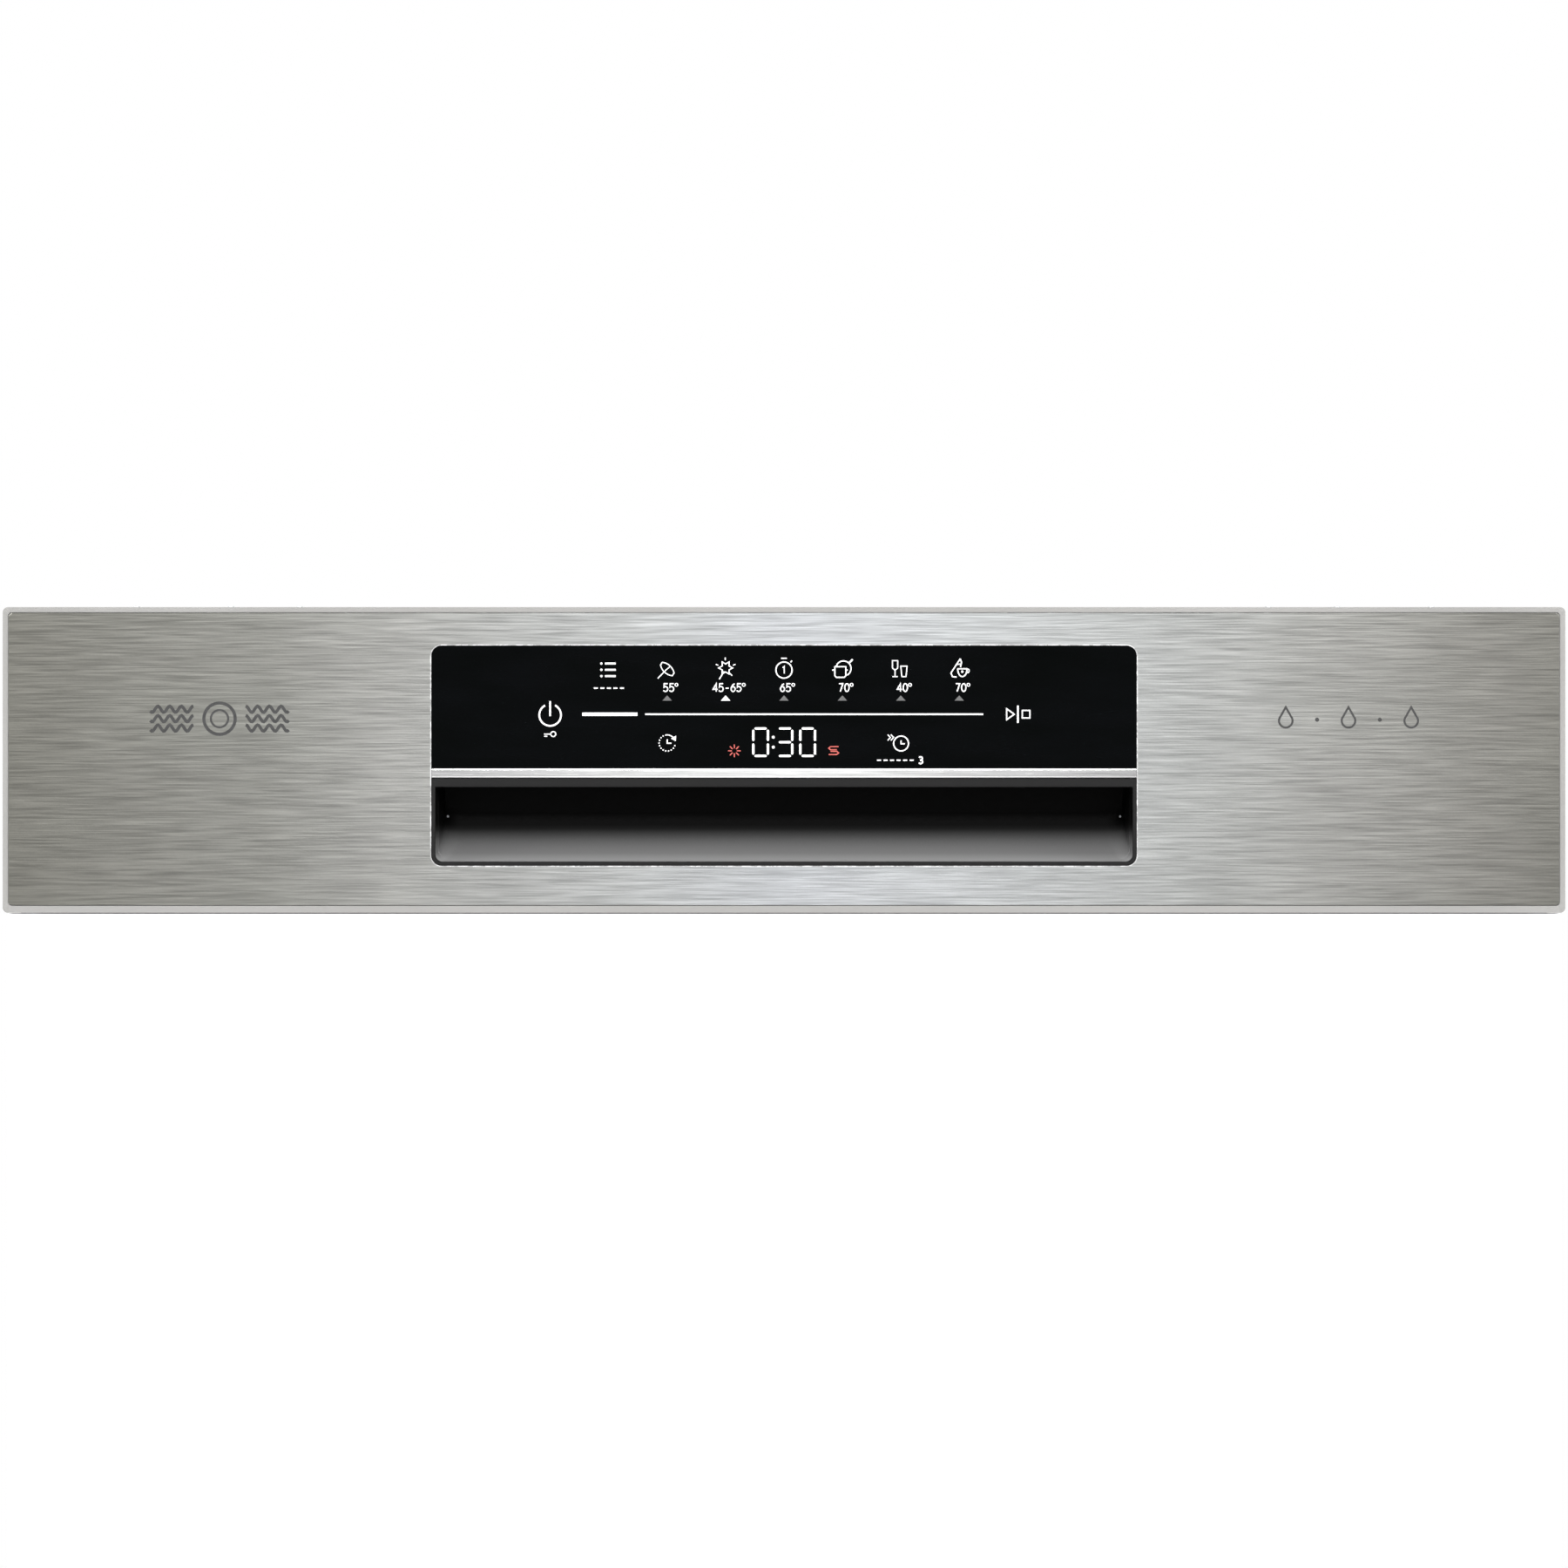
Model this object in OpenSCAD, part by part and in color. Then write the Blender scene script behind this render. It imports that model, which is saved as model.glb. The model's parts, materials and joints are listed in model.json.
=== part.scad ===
// Built-in dishwasher, 60 cm, semi-integrated: a control fascia above a furniture front.
// The front faces -Y and +Z is up. The origin lies on the floor under the middle of the machine.

/* [Body] */
// Width across the fascia
body_w = 598; // [596:1:600]
// Height with the feet screwed right in
body_h = 817; // [816:1:820]
// Depth from the fascia's face to the rear panel
body_d = 570; // [566:1:580]
// Width inside the tub
tub_w = 540; // [536:1:541]
// Height of the tub's floor
tub_floor_z = 150; // [149:1:151]
// Height of the tub's ceiling
tub_top_z = 795; // [792:1:796]

/* [Door] */
// Height of the door's hinge axis
axis_z = 150; // [148:1:152]
// Distance from the fascia's face back to the hinge axis
axis_depth = 60; // [58:1:62]
// Thickness of the furniture front
front_t = 19.8; // [16:0.1:19.9]
// Height of the furniture front's lower edge
front_low_z = 100; // [98:1:110]

/* [Fascia] */
// Height of the control fascia
fascia_h = 117; // [112:1:118]
// Width of the black insert
insert_w = 270; // [240:1:280]
// Height of the display glass
glass_h = 46.8; // [44:0.1:48]
// Height of the bright strip
strip_h = 4; // [3:0.1:5]
// Height of the grip recess
grip_h = 33.5; // [32:0.1:35]
// Corner radius of the black insert
insert_r = 4; // [2:0.5:5]

/* [Racks] */
// Square side of a rack wire
wire_t = 3.2; // [2.8:0.1:3.6]
// Pitch of the wires in the rack floors
wire_pitch = 38; // [36:1:40]
// Radius of a lower rack wheel
wheel_r = 17; // [15:0.5:17]

/* [Hidden] */
$fn = 48;
eps = 0.1;          // overshoot of a cut
sheet_t = 1.2;      // stainless sheet of the tub
thin_t = 0.8;       // galvanised sheet of the outer panels

// Depth positions
front_y = -body_d / 2;
back_y = body_d / 2;
door_y = front_y + 20;        // face of the door's outer panel
inner_y = front_y + 70;       // face that the door turns to the tub
frame_y = front_y + 80;       // front of the tub's frame
tub_back_y = 240;
base_front_y = -165;
base_back_y = 255;
axis_y = front_y + axis_depth;
center_y = 15;                // axis shared by the three spray arms

// Fascia and insert heights
fascia_top_z = body_h - 2;
fascia_low_z = fascia_top_z - fascia_h;
insert_top_z = fascia_top_z - 14.7;
strip_top_z = insert_top_z - glass_h;
grip_top_z = strip_top_z - strip_h;
insert_low_z = grip_top_z - grip_h;
rim_side = 2;                 // carrier rim beside and above the steel
rim_low = 2.7;                // carrier rim under the steel
panel_gap = 0.3;
front_gap = 0.4;              // between the fascia and the furniture front

// Door
door_half = 288;
door_top_z = body_h - 5;
door_low_z = axis_z - 20;
inner_low_z = axis_z + 6;
pin_r = 5;
running_gap = 0.05;           // radial clearance of a pin in its bore

// Base
base_half = 286;
base_low_z = 28;
base_top_z = 136;
base_t = 3;
foot_x = 255;
foot_front_y = -130;
foot_rear_y = 225;
stem_r = 5;

// Sump, filter and salt container
filter_x = 95;
filter_y = -75;
filter_r = 38;
sump_low_z = 75;
column_r = 10;
salt_x = -150;
salt_y = -85;
salt_mouth_r = 28;
pump_y = 45;
pump_z = 86;
drain_pump_z = 78;
hose_y = 196;

// Ports in the base's rear wall
inlet_x = -225;
gland_x = 160;
port_z = 85;                  // water inlet and mains gland
drain_x = 250;
drain_z = drain_pump_z - 14;

// Racks
rack_half = 246;
rack_front_y = -188;
rack_back_y = 206;
lower_floor_z = 215;
lower_rim_z = 345;
upper_floor_z = 530;
upper_rim_z = 672;
ledge_z = 163;
wheel_z = ledge_z + 0.3 + wheel_r;
wheel_front_y = -120;
wheel_rear_y = 150;
wheel_x = 250;
axle_r = 3;
rail_z = 608;
upper_arm_z = 486;
shelf_x = -241;
shelf_z = 620;
tine_y = 60;
tine_z = 222;
tine_pitch = 30;
wire_rise = wire_t - 0.7;     // a cross wire's axis above the wires it lies on

// A block from its low corner to its high corner
module block(low, high) {
  translate(low) cube(high - low);
}

// Its child and the child's mirror image across the middle of the machine
module both_sides() {
  children();
  mirror([1, 0, 0]) children();
}

// A shape drawn in depth and height, extruded along X from x0 to x1
module across(x0, x1) {
  translate([x0, 0, 0]) rotate([90, 0, 90]) linear_extrude(x1 - x0) children();
}

// A shape drawn in width and height, extruded along Y from y0 to y1
module deep(y0, y1) {
  translate([0, y1, 0]) rotate([90, 0, 0]) linear_extrude(y1 - y0) children();
}

// A cylinder along X or along Y
module rod_x(x0, x1, y, z, r) {
  translate([x0, y, z]) rotate([0, 90, 0]) cylinder(h = x1 - x0, r = r);
}
module rod_y(y0, y1, x, z, r) {
  translate([x, y0, z]) rotate([-90, 0, 0]) cylinder(h = y1 - y0, r = r);
}
module rod_z(z0, z1, x, y, r) {
  translate([x, y, z0]) cylinder(h = z1 - z0, r = r);
}

// A flat rectangle with round corners, from low to high
module round_rect(low, high, r) {
  translate([low[0] + r, low[1]]) square([high[0] - low[0] - 2 * r, high[1] - low[1]]);
  translate([low[0], low[1] + r]) square([high[0] - low[0], high[1] - low[1] - 2 * r]);
  for (x = [low[0] + r, high[0] - r])
    for (y = [low[1] + r, high[1] - r])
      translate([x, y]) circle(r = r);
}

// A square wire between two points that differ along one axis
module wire(a, b, t = wire_t) {
  half = [t, t, t] / 2;
  low = [for (i = [0:2]) min(a[i], b[i])];
  high = [for (i = [0:2]) max(a[i], b[i])];
  block(low - half, high + half);
}

// ---------- Base ----------

module base_tray() {
  color("dimgray")
    difference() {
      union() {
        difference() {
          block([-base_half, base_front_y, base_low_z], [base_half, base_back_y, base_top_z]);
          block([-base_half + base_t, base_front_y + base_t, base_low_z + base_t],
                [base_half - base_t, base_back_y - base_t, base_top_z + eps]);
        }
        for (p = [[-foot_x, foot_front_y], [foot_x, foot_front_y], [0, foot_rear_y]])
          rod_z(base_low_z, 120, p[0], p[1], 14);
        rod_y(base_back_y - base_t, base_back_y + 25, drain_x, drain_z, 10);
      }
      for (p = [[-foot_x, foot_front_y], [foot_x, foot_front_y], [0, foot_rear_y]])
        rod_z(base_low_z - eps, 120 + eps, p[0], p[1], stem_r + running_gap);
      // Ports: the drain spigot's bore, the water inlet's hole and a window for the mains gland
      rod_y(base_back_y - base_t - eps, base_back_y + 25 + eps, drain_x, drain_z, 7);
      rod_y(base_back_y - base_t - eps, base_back_y + eps, inlet_x, port_z, 14);
      block([gland_x - 12, base_back_y - base_t - eps, port_z - 12],
            [gland_x + 12, base_back_y + eps, port_z + 12]);
    }
}

module plinth() {
  color("silver")
    difference() {
      block([-290, base_front_y - 3, 14], [290, base_front_y - 1.5, 134]);
      for (x = [-240, 240]) rod_y(base_front_y - 4, base_front_y - 1, x, 110, 2.5);
    }
}

// A levelling foot: a pad, a hexagon for the spanner and a threaded stem
module foot(x, y) {
  color("gray")
    translate([x, y, 0]) {
      cylinder(h = 8, r = 20);
      translate([0, 0, 8]) cylinder(h = 6, r = 11, $fn = 6);
      translate([0, 0, 14]) cylinder(h = 76, r = stem_r);
    }
}
module foot_front_left() { foot(-foot_x, foot_front_y); }
module foot_front_right() { foot(foot_x, foot_front_y); }
module foot_rear() { foot(0, foot_rear_y); }

// ---------- Tub ----------

module tub_wrap() {
  half = tub_w / 2;
  color("lightgray") {
    both_sides()
      block([half, frame_y, tub_floor_z - 1.6], [half + sheet_t, tub_back_y, tub_top_z]);
    block([-half - sheet_t, frame_y, tub_top_z + eps],
          [half + sheet_t, tub_back_y, tub_top_z + eps + sheet_t]);
    // Back sheet
    block([-half - sheet_t, tub_back_y + eps, tub_floor_z - 1.6],
          [half + sheet_t, tub_back_y + eps + sheet_t, tub_top_z + eps + sheet_t]);
  }
}

module tub_floor() {
  half = tub_w / 2 - eps;
  color("lightgray")
    difference() {
      union() {
        block([-half, frame_y, tub_floor_z - 1.6], [half, tub_back_y, tub_floor_z]);
        both_sides() block([247, frame_y, tub_floor_z - 1], [half, tub_back_y, ledge_z]);
        block([-248, frame_y, tub_floor_z - 1], [248, frame_y + 5, ledge_z]);
      }
      rod_z(tub_floor_z - 3, tub_floor_z + 1, 0, center_y, 14);
      rod_z(tub_floor_z - 3, tub_floor_z + 1, filter_x, filter_y, 50);
      rod_z(tub_floor_z - 3, tub_floor_z + 1, salt_x, salt_y, 35);
      // Way up for the feed pipe at the back
      block([-13, tub_back_y - 18, tub_floor_z - 3], [13, tub_back_y - 1, tub_floor_z + 1]);
    }
}

module front_frame() {
  color("lightgray")
    deep(frame_y, frame_y + 1.5)
      difference() {
        translate([-291, axis_z - 10]) square([582, door_top_z - axis_z + 10]);
        translate([-tub_w / 2 - 1.5, tub_floor_z - 2])
          square([tub_w + 3, tub_top_z - tub_floor_z + 3.8]);
      }
}

module door_seal() {
  lip_y = inner_y + panel_gap;
  bulb = 10;
  low = tub_w / 2 + 2;
  color("darkslategray")
    difference() {
      block([-low - bulb, lip_y, 170], [low + bulb, frame_y - eps, tub_top_z + 12]);
      block([-low, lip_y - eps, 169], [low, frame_y, tub_top_z + 2]);
      // A step along the outer edge of both legs thins the lip
      both_sides() block([low + bulb - 2, lip_y - eps, 169], [low + bulb + 1, lip_y + 2, tub_top_z + 13]);
    }
}

module outer_panels() {
  outer = body_w / 2;
  side = [[frame_y, axis_z - 10], [frame_y, door_top_z], [back_y, door_top_z],
          [back_y, 30], [base_front_y + 5, 30], [base_front_y + 5, axis_z - 10]];
  color("gainsboro") {
    both_sides()
      difference() {
        union() {
          across(outer - thin_t, outer) polygon(side);
          block([292, frame_y, 175], [outer - thin_t / 2, frame_y + thin_t, door_top_z]);
        }
        for (z = [230, 730]) rod_x(outer - 2, outer + 1, frame_y + 25, z, 3);
      }
    // Rear panel with a row of vent slots low down
    difference() {
      block([-outer + thin_t + eps, back_y - thin_t, 140], [outer - thin_t - eps, back_y, door_top_z]);
      for (x = [-160:32:160]) block([x - 3, back_y - 2, 165], [x + 3, back_y + 1, 215]);
    }
  }
}

module insulation_jacket() {
  mat_t = 6;
  gap = 2.5;
  side = tub_w / 2 + gap;
  top = tub_top_z + gap;
  color("slategray") {
    both_sides() block([side, frame_y + 10, 170], [side + mat_t, tub_back_y - 1, 790]);
    block([-268, frame_y + 10, top], [268, tub_back_y - 5, top + mat_t]);
    block([-268, tub_back_y + gap, 170], [268, tub_back_y + gap + mat_t, 790]);
  }
}

// Two cross rails with the worktop brackets on top of the front one
module top_frame() {
  rail_top = door_top_z + 1;
  color("silver")
    difference() {
      union() {
        block([-296, frame_y + 2, rail_top - 4], [296, frame_y + 32, rail_top]);
        block([-296, back_y - 35, rail_top - 4], [296, back_y - 2, rail_top]);
        both_sides() {
          block([264, frame_y + 30, rail_top - 4], [296, back_y - 30, rail_top - 2]);
          block([189, frame_y - 4, rail_top], [255, frame_y + 32, rail_top + 2]);
          for (x = [189, 216, 253]) block([x, frame_y + 2, rail_top + 1], [x + 2, frame_y + 32, body_h]);
          block([267, frame_y + 5, rail_top], [288, frame_y + 32, body_h - 0.6]);
        }
      }
      both_sides() rod_z(rail_top - 5, body_h + 1, 235, frame_y + 17, 2.5);
    }
}

module hinge_brackets() {
  color("silver")
    both_sides() {
      difference() {
        across(292, 296)
          union() {
            translate([axis_y, axis_z]) circle(r = 13);
            translate([axis_y, axis_z - 8]) square([100, 21]);
            translate([-158, 60]) square([58, 103]);
          }
        rod_x(291, 297, -125, 90, 3);
      }
      // The pivot pin is riveted into the ear
      rod_x(door_half + 0.3, 292 + eps, axis_y, axis_z, pin_r);
      rod_x(296 - eps, 297.5, axis_y, axis_z, 8);
    }
}

// Door balance springs, each with a hook rod at both ends
module door_springs() {
  color("gray")
    both_sides() {
      difference() {
        rod_y(-90, 40, 292, 110, 5);
        rod_y(-91, 41, 292, 110, 3.2);
      }
      rod_y(-99.9, -85, 292, 110, 1.2);
      for (y = [-90, 38.5]) rod_y(y, y + 1.5, 292, 110, 4);
      rod_y(35, 60, 292, 110, 1.2);
    }
}

// ---------- Water parts ----------

module sump_outline(shrink) {
  translate([0, center_y]) circle(r = 63 - shrink);
  translate([filter_x, filter_y]) circle(r = 56 - shrink);
  polygon([[-20, center_y - 40 + shrink], [filter_x - 30, filter_y - 30 + shrink],
           [filter_x + 30, filter_y + 20], [40, center_y + 40 - shrink]]);
}
module sump() {
  color("dimgray") {
    difference() {
      union() {
        translate([0, 0, sump_low_z]) linear_extrude(tub_floor_z - 2 - sump_low_z) sump_outline(0);
        rod_x(45, 75, pump_y, pump_z, 15);
        rod_x(filter_x + 45, filter_x + 64, filter_y, drain_pump_z + 15, 10);
      }
      translate([0, 0, sump_low_z + 3]) linear_extrude(tub_floor_z) sump_outline(3);
      rod_x(40, 76, pump_y, pump_z, 12);
      rod_x(filter_x + 40, filter_x + 65, filter_y, drain_pump_z + 15, 7);
    }
    difference() {
      rod_z(sump_low_z + 2, 188, 0, center_y, column_r);
      rod_z(sump_low_z + 6, 189, 0, center_y, 6);
    }
  }
}

module filter_plate() {
  color("silver")
    difference() {
      translate([0, 0, tub_floor_z + 0.1])
        linear_extrude(1)
          round_rect([-110, -135], [155, 90], 30);
      rod_z(tub_floor_z - 1, tub_floor_z + 3, 0, center_y, 13);
      rod_z(tub_floor_z - 1, tub_floor_z + 3, filter_x, filter_y, filter_r + 2);
      rod_z(tub_floor_z - 1, tub_floor_z + 3, salt_x, salt_y, 45);
    }
}

module filter_cylinder() {
  color("lightsteelblue")
    translate([filter_x, filter_y, 0]) {
      difference() {
        rod_z(sump_low_z + 8, 155, 0, 0, filter_r);
        rod_z(sump_low_z + 10, 156, 0, 0, filter_r - 1.6);
        for (a = [0:45:315])
          rotate([0, 0, a]) block([filter_r - 4, -9, 92], [filter_r + 2, 9, 144]);
      }
      difference() {
        rod_z(152, 156, 0, 0, filter_r - 0.5);
        rod_z(151, 157, 0, 0, filter_r - 8);
      }
      block([-filter_r + 4, -3.5, 152], [filter_r - 4, 3.5, 168]);
    }
}

module wash_pump_housing() {
  color("black")
    difference() {
      union() {
        rod_x(90, 130, pump_y, pump_z, 42);
        rod_x(128, 222, pump_y, pump_z, 36);
        rod_x(222, 228, pump_y, pump_z, 14);
        // Delivery spigot towards the back
        rod_y(pump_y + 20, pump_y + 52, 110, pump_z + 14, 14);
      }
      rod_x(93, 127, pump_y, pump_z, 38);
      rod_x(126, 214, pump_y, pump_z, 26);
      rod_x(89, 94, pump_y, pump_z, 12);
      rod_y(pump_y + 20, pump_y + 53, 110, pump_z + 14, 10);
      rod_x(213, 220, pump_y, pump_z, 4 + running_gap);
    }
}

module wash_pump_rotor() {
  color("white") {
    rod_x(97, 219, pump_y, pump_z, 4);
    rod_x(136, 204, pump_y, pump_z, 22);
    rod_x(112, 116, pump_y, pump_z, 32);
    for (a = [0:60:300])
      translate([0, pump_y, pump_z]) rotate([a, 0, 0]) block([99, 8, -1.2], [113, 31, 1.2]);
    rod_x(98, 113, pump_y, pump_z, 10);
  }
}

module drain_pump_housing() {
  color("darkgray")
    difference() {
      union() {
        rod_x(filter_x + 65, 226, filter_y, drain_pump_z, 28);
        rod_x(226, 238, filter_y, drain_z, 10);
      }
      rod_x(filter_x + 68, 222, filter_y, drain_pump_z, 24);
      rod_x(filter_x + 64, filter_x + 69, filter_y, drain_pump_z + 15, 7);
      rod_x(221, 239, filter_y, drain_z, 7);
    }
}

module drain_pump_rotor() {
  color("white") {
    rod_x(filter_x + 70, 218, filter_y, drain_pump_z, 3);
    rod_x(184, 214, filter_y, drain_pump_z, 18);
    for (a = [0, 90])
      translate([0, filter_y, drain_pump_z]) rotate([a, 0, 0]) block([167, -18, -1.5], [180, 18, 1.5]);
  }
}

module salt_container() {
  color("ivory")
    difference() {
      union() {
        block([-230, -155, 45], [-85, -25, 140]);
        rod_z(130, 156, salt_x, salt_y, salt_mouth_r + 5);
      }
      block([-227, -152, 48], [-88, -28, 137]);
      rod_z(136, 157, salt_x, salt_y, salt_mouth_r);
    }
}

module salt_cap() {
  color("royalblue")
    translate([salt_x, salt_y, 0]) {
      difference() {
        rod_z(146, 164, 0, 0, salt_mouth_r - 0.6);
        rod_z(145, 158, 0, 0, salt_mouth_r - 4);
      }
      rod_z(156.6, 165, 0, 0, salt_mouth_r + 5);
      block([-24, -3.5, 164], [24, 3.5, 172]);
    }
}

module air_break_box() {
  color("whitesmoke")
    difference() {
      block([-297.5, -150, 250], [-285, 150, 650]);
      // Chamber walls seen from the outside
      for (z = [262, 392, 522])
        for (y = [-138, 6])
          block([-298, y, z], [-288, y + 132, z + 116]);
    }
}

module inlet_valve() {
  color("white")
    difference() {
      union() {
        block([inlet_x - 25, 205, 60], [inlet_x + 25, 250, 110]);
        rod_y(249, 256, inlet_x, port_z, 13.9);
        rod_y(255, 280, inlet_x, port_z, 13.2);
        rod_z(108, 124, inlet_x, 222, 6);
      }
      rod_y(240, 281, inlet_x, port_z, 10);
    }
}

module terminal_box() {
  color("gray")
    difference() {
      union() {
        block([135, 212, 60], [190, 250, 112]);
        rod_y(249, 264, gland_x, port_z, 11);
      }
      block([138, 215, 63], [187, 246, 109]);
      rod_y(240, 265, gland_x, port_z, 4.5);
    }
}

// Hoses held inside the base: pump suction, pump delivery to the feed pipe, and drain
module hose_path(r) {
  delivery_z = pump_z + 14;
  rod_y(pump_y + 52.1, hose_y, 110, delivery_z, r);
  translate([110, hose_y, delivery_z]) sphere(r = r);
  rod_x(0, 110, hose_y, delivery_z, r);
  translate([0, hose_y, delivery_z]) sphere(r = r);
  rod_z(delivery_z, 124, 0, hose_y, r);
}
module drain_path(r) {
  rod_x(238.1, drain_x, filter_y, drain_z, r);
  translate([drain_x, filter_y, drain_z]) sphere(r = r);
  rod_y(filter_y, 251, drain_x, drain_z, r);
}
module internal_hoses() {
  color("dimgray") {
    difference() {
      rod_x(75.1, 89.9, pump_y, pump_z, 15);
      rod_x(75, 90, pump_y, pump_z, 12);
    }
    difference() {
      hose_path(12);
      hose_path(9.5);
      rod_y(pump_y + 50, pump_y + 60, 110, pump_z + 14, 9.5);
      rod_z(118, 125, 0, hose_y, 9.5);
    }
    difference() {
      drain_path(10);
      drain_path(7.5);
    }
  }
}

// Feed pipe up the tub's back wall and forward under its ceiling
module feed_pipe() {
  color("gray")
    difference() {
      union() {
        block([-11, tub_back_y - 16, 126], [11, tub_back_y - 2, 790]);
        block([-11, hose_y - 13, 126], [11, tub_back_y - 2, 138]);
        block([-11, center_y - 14, 776], [11, tub_back_y - 2, 790]);
        rod_z(758, 777, 0, center_y, column_r);
        rod_y(214, tub_back_y - 15, 0, upper_arm_z + 26, 8);
      }
      rod_y(213, tub_back_y - 8, 0, upper_arm_z + 26, 5.5);
      rod_z(757, 780, 0, center_y, 6);
      rod_z(125, 134, 0, hose_y, 9);
    }
}

// A spray arm: a tapered blade each side of a hub that turns on a tube
module spray_arm(reach, low_z, hub_low, hub_high, bore_low, bore_high) {
  blade_t = 11;
  tip_r = 13;
  color("gray")
    difference() {
      union() {
        translate([0, center_y, low_z])
          linear_extrude(blade_t)
            for (s = [-1, 1]) {
              polygon([[0, -20], [s * (reach - tip_r), -tip_r], [s * (reach - tip_r), tip_r], [0, 20]]);
              translate([s * (reach - tip_r), 0]) circle(r = tip_r);
            }
        rod_z(hub_low, hub_high, 0, center_y, 24);
      }
      rod_z(bore_low, bore_high, 0, center_y, column_r + running_gap);
      // Jets, offset to one side of each blade so that the arm turns
      for (s = [-1, 1])
        for (i = [1:4])
          translate([s * reach * i / 4.8, center_y + s * 5, low_z + 4]) cylinder(h = blade_t, r = 2.2);
    }
}
module lower_spray_arm() { spray_arm(200, 182, 178, 196, 177, 190); }
module upper_spray_arm() { spray_arm(185, upper_arm_z, upper_arm_z - 2, upper_arm_z + 14,
                                     upper_arm_z + 2, upper_arm_z + 15); }
module ceiling_spray_arm() { spray_arm(115, 752, 750, 766, 756, 767); }

module rail_channels() {
  color("silver")
    both_sides()
      difference() {
        block([258, -195, rail_z - 12], [269.5, 205, rail_z + 12]);
        block([257, -196, rail_z - 9], [267.5, 203, rail_z + 9]);
      }
}

module latch_strike() {
  color("silver")
    difference() {
      union() {
        block([-14, frame_y - 1.5, 807.6], [14, frame_y - eps, 811.6]);
        block([-7, frame_y - 25, 807.6], [7, frame_y - 1, 809.8]);
      }
      block([-4, frame_y - 22, 807], [4, frame_y - 13, 811]);
    }
}

// ---------- Door ----------

module fascia_plate() {
  half = body_w / 2 - rim_side - panel_gap;
  color("silver")
    deep(front_y, front_y + 1)
      difference() {
        round_rect([-half, fascia_low_z + rim_low + panel_gap],
                   [half, fascia_top_z - rim_side - panel_gap], 1.5);
        round_rect([-insert_w / 2 - panel_gap, insert_low_z - panel_gap],
                   [insert_w / 2 + panel_gap, insert_top_z + panel_gap], insert_r);
      }
}

module fascia_carrier() {
  outer = body_w / 2;
  face = front_y + 0.4;
  color("lightgray")
    difference() {
      deep(face, door_y - eps) round_rect([-outer, fascia_low_z], [outer, fascia_top_z], 2);
      // Seat of the steel plate
      deep(face - eps, front_y + 1.1)
        round_rect([-outer + rim_side, fascia_low_z + rim_low],
                   [outer - rim_side, fascia_top_z - rim_side], 1.5);
      // Hollow behind it
      block([-outer + 3, front_y + 3.5, fascia_low_z + 3], [outer - 3, door_y + 1, fascia_top_z - 3]);
      block([-insert_w / 2 - 0.2, front_y - 1, insert_low_z - 0.2],
            [insert_w / 2 + 0.2, front_y + 5, insert_top_z + 0.2]);
    }
}

module display_glass() {
  half = insert_w / 2;
  color("black")
    deep(front_y + 0.2, front_y + 3.2)
      intersection() {
        round_rect([-half, strip_top_z - 20], [half, insert_top_z], insert_r);
        translate([-half, strip_top_z]) square([insert_w, glass_h]);
      }
}

module accent_strip() {
  half = insert_w / 2;
  y0 = front_y + 0.1;
  z0 = grip_top_z + 0.05;
  z1 = strip_top_z - 0.05;
  color("white")
    across(-half, half)
      polygon([[y0 + 0.4, z0], [y0, z0 + 0.5], [y0, z1 - 0.5], [y0 + 0.4, z1], [y0 + 4, z1], [y0 + 4, z0]]);
}

// The hollow that the fingers enter: a scoop that rises to a back wall and a pocket behind the strip
function scoop(d, rise, n) =
  [for (i = [0:n]) [d * sin(90 * i / n), rise * (1 - cos(90 * i / n))]];
module grip_recess() {
  half = insert_w / 2;
  lip = 1.7;
  depth = 29;
  low = insert_low_z;
  curve = [for (p = scoop(depth, 19, 8)) [front_y + 0.2 + p[0], low + lip + p[1]]];
  cavity = concat([[front_y - 1, low + lip]], curve,
                  [[front_y + 0.2 + depth, low + 42], [front_y + 8, low + 42],
                   [front_y + 8, grip_top_z - lip], [front_y - 1, grip_top_z - lip]]);
  shell = [[front_y + 0.2, low], [front_y + 12, low], [front_y + depth + 2.5, low + 12],
           [front_y + depth + 2.5, low + 44], [front_y + 6, low + 44],
           [front_y + 6, grip_top_z - eps], [front_y + 0.2, grip_top_z - eps]];
  color("black")
    difference() {
      across(-half, half) polygon(shell);
      across(-half + lip, half - lip) polygon(cavity);
      // Round lower corners of the insert
      both_sides()
        deep(front_y, front_y + 40)
          difference() {
            translate([half - insert_r, low - 1]) square([insert_r + 1, insert_r + 1]);
            translate([half - insert_r, low + insert_r]) circle(r = insert_r);
          }
    }
}

module control_board() {
  y0 = front_y + 6;
  color("green") {
    block([-125, y0, insert_top_z - 36], [125, y0 + 1.6, insert_top_z - 2]);
    // Display module and relays stand on its two faces
    block([-14, y0 - 2.6, insert_top_z - 34], [16, y0 + eps, insert_top_z - 18]);
    for (x = [-100, -60, 55, 90])
      block([x, y0 + 1.5, insert_top_z - 30], [x + 18, y0 + 9, insert_top_z - 12]);
  }
}

module door_outer_panel() {
  half = door_half - 2;
  color("gainsboro")
    difference() {
      block([-half, door_y, door_low_z], [half, inner_y - 18, door_top_z]);
      block([-half + 1, door_y + 1, door_low_z + 1], [half - 1, inner_y, door_top_z - 1]);
      block([-insert_w / 2 - 3, door_y - 1, insert_low_z - 3],
            [insert_w / 2 + 3, door_y + 2, insert_low_z + 48]);
    }
}

module door_insulation() {
  color("slategray")
    difference() {
      block([-275, door_y + 2, 175], [275, inner_y - 26, 690]);
      block([-115, door_y + 12, 400], [75, inner_y, 580]);
    }
}

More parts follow.
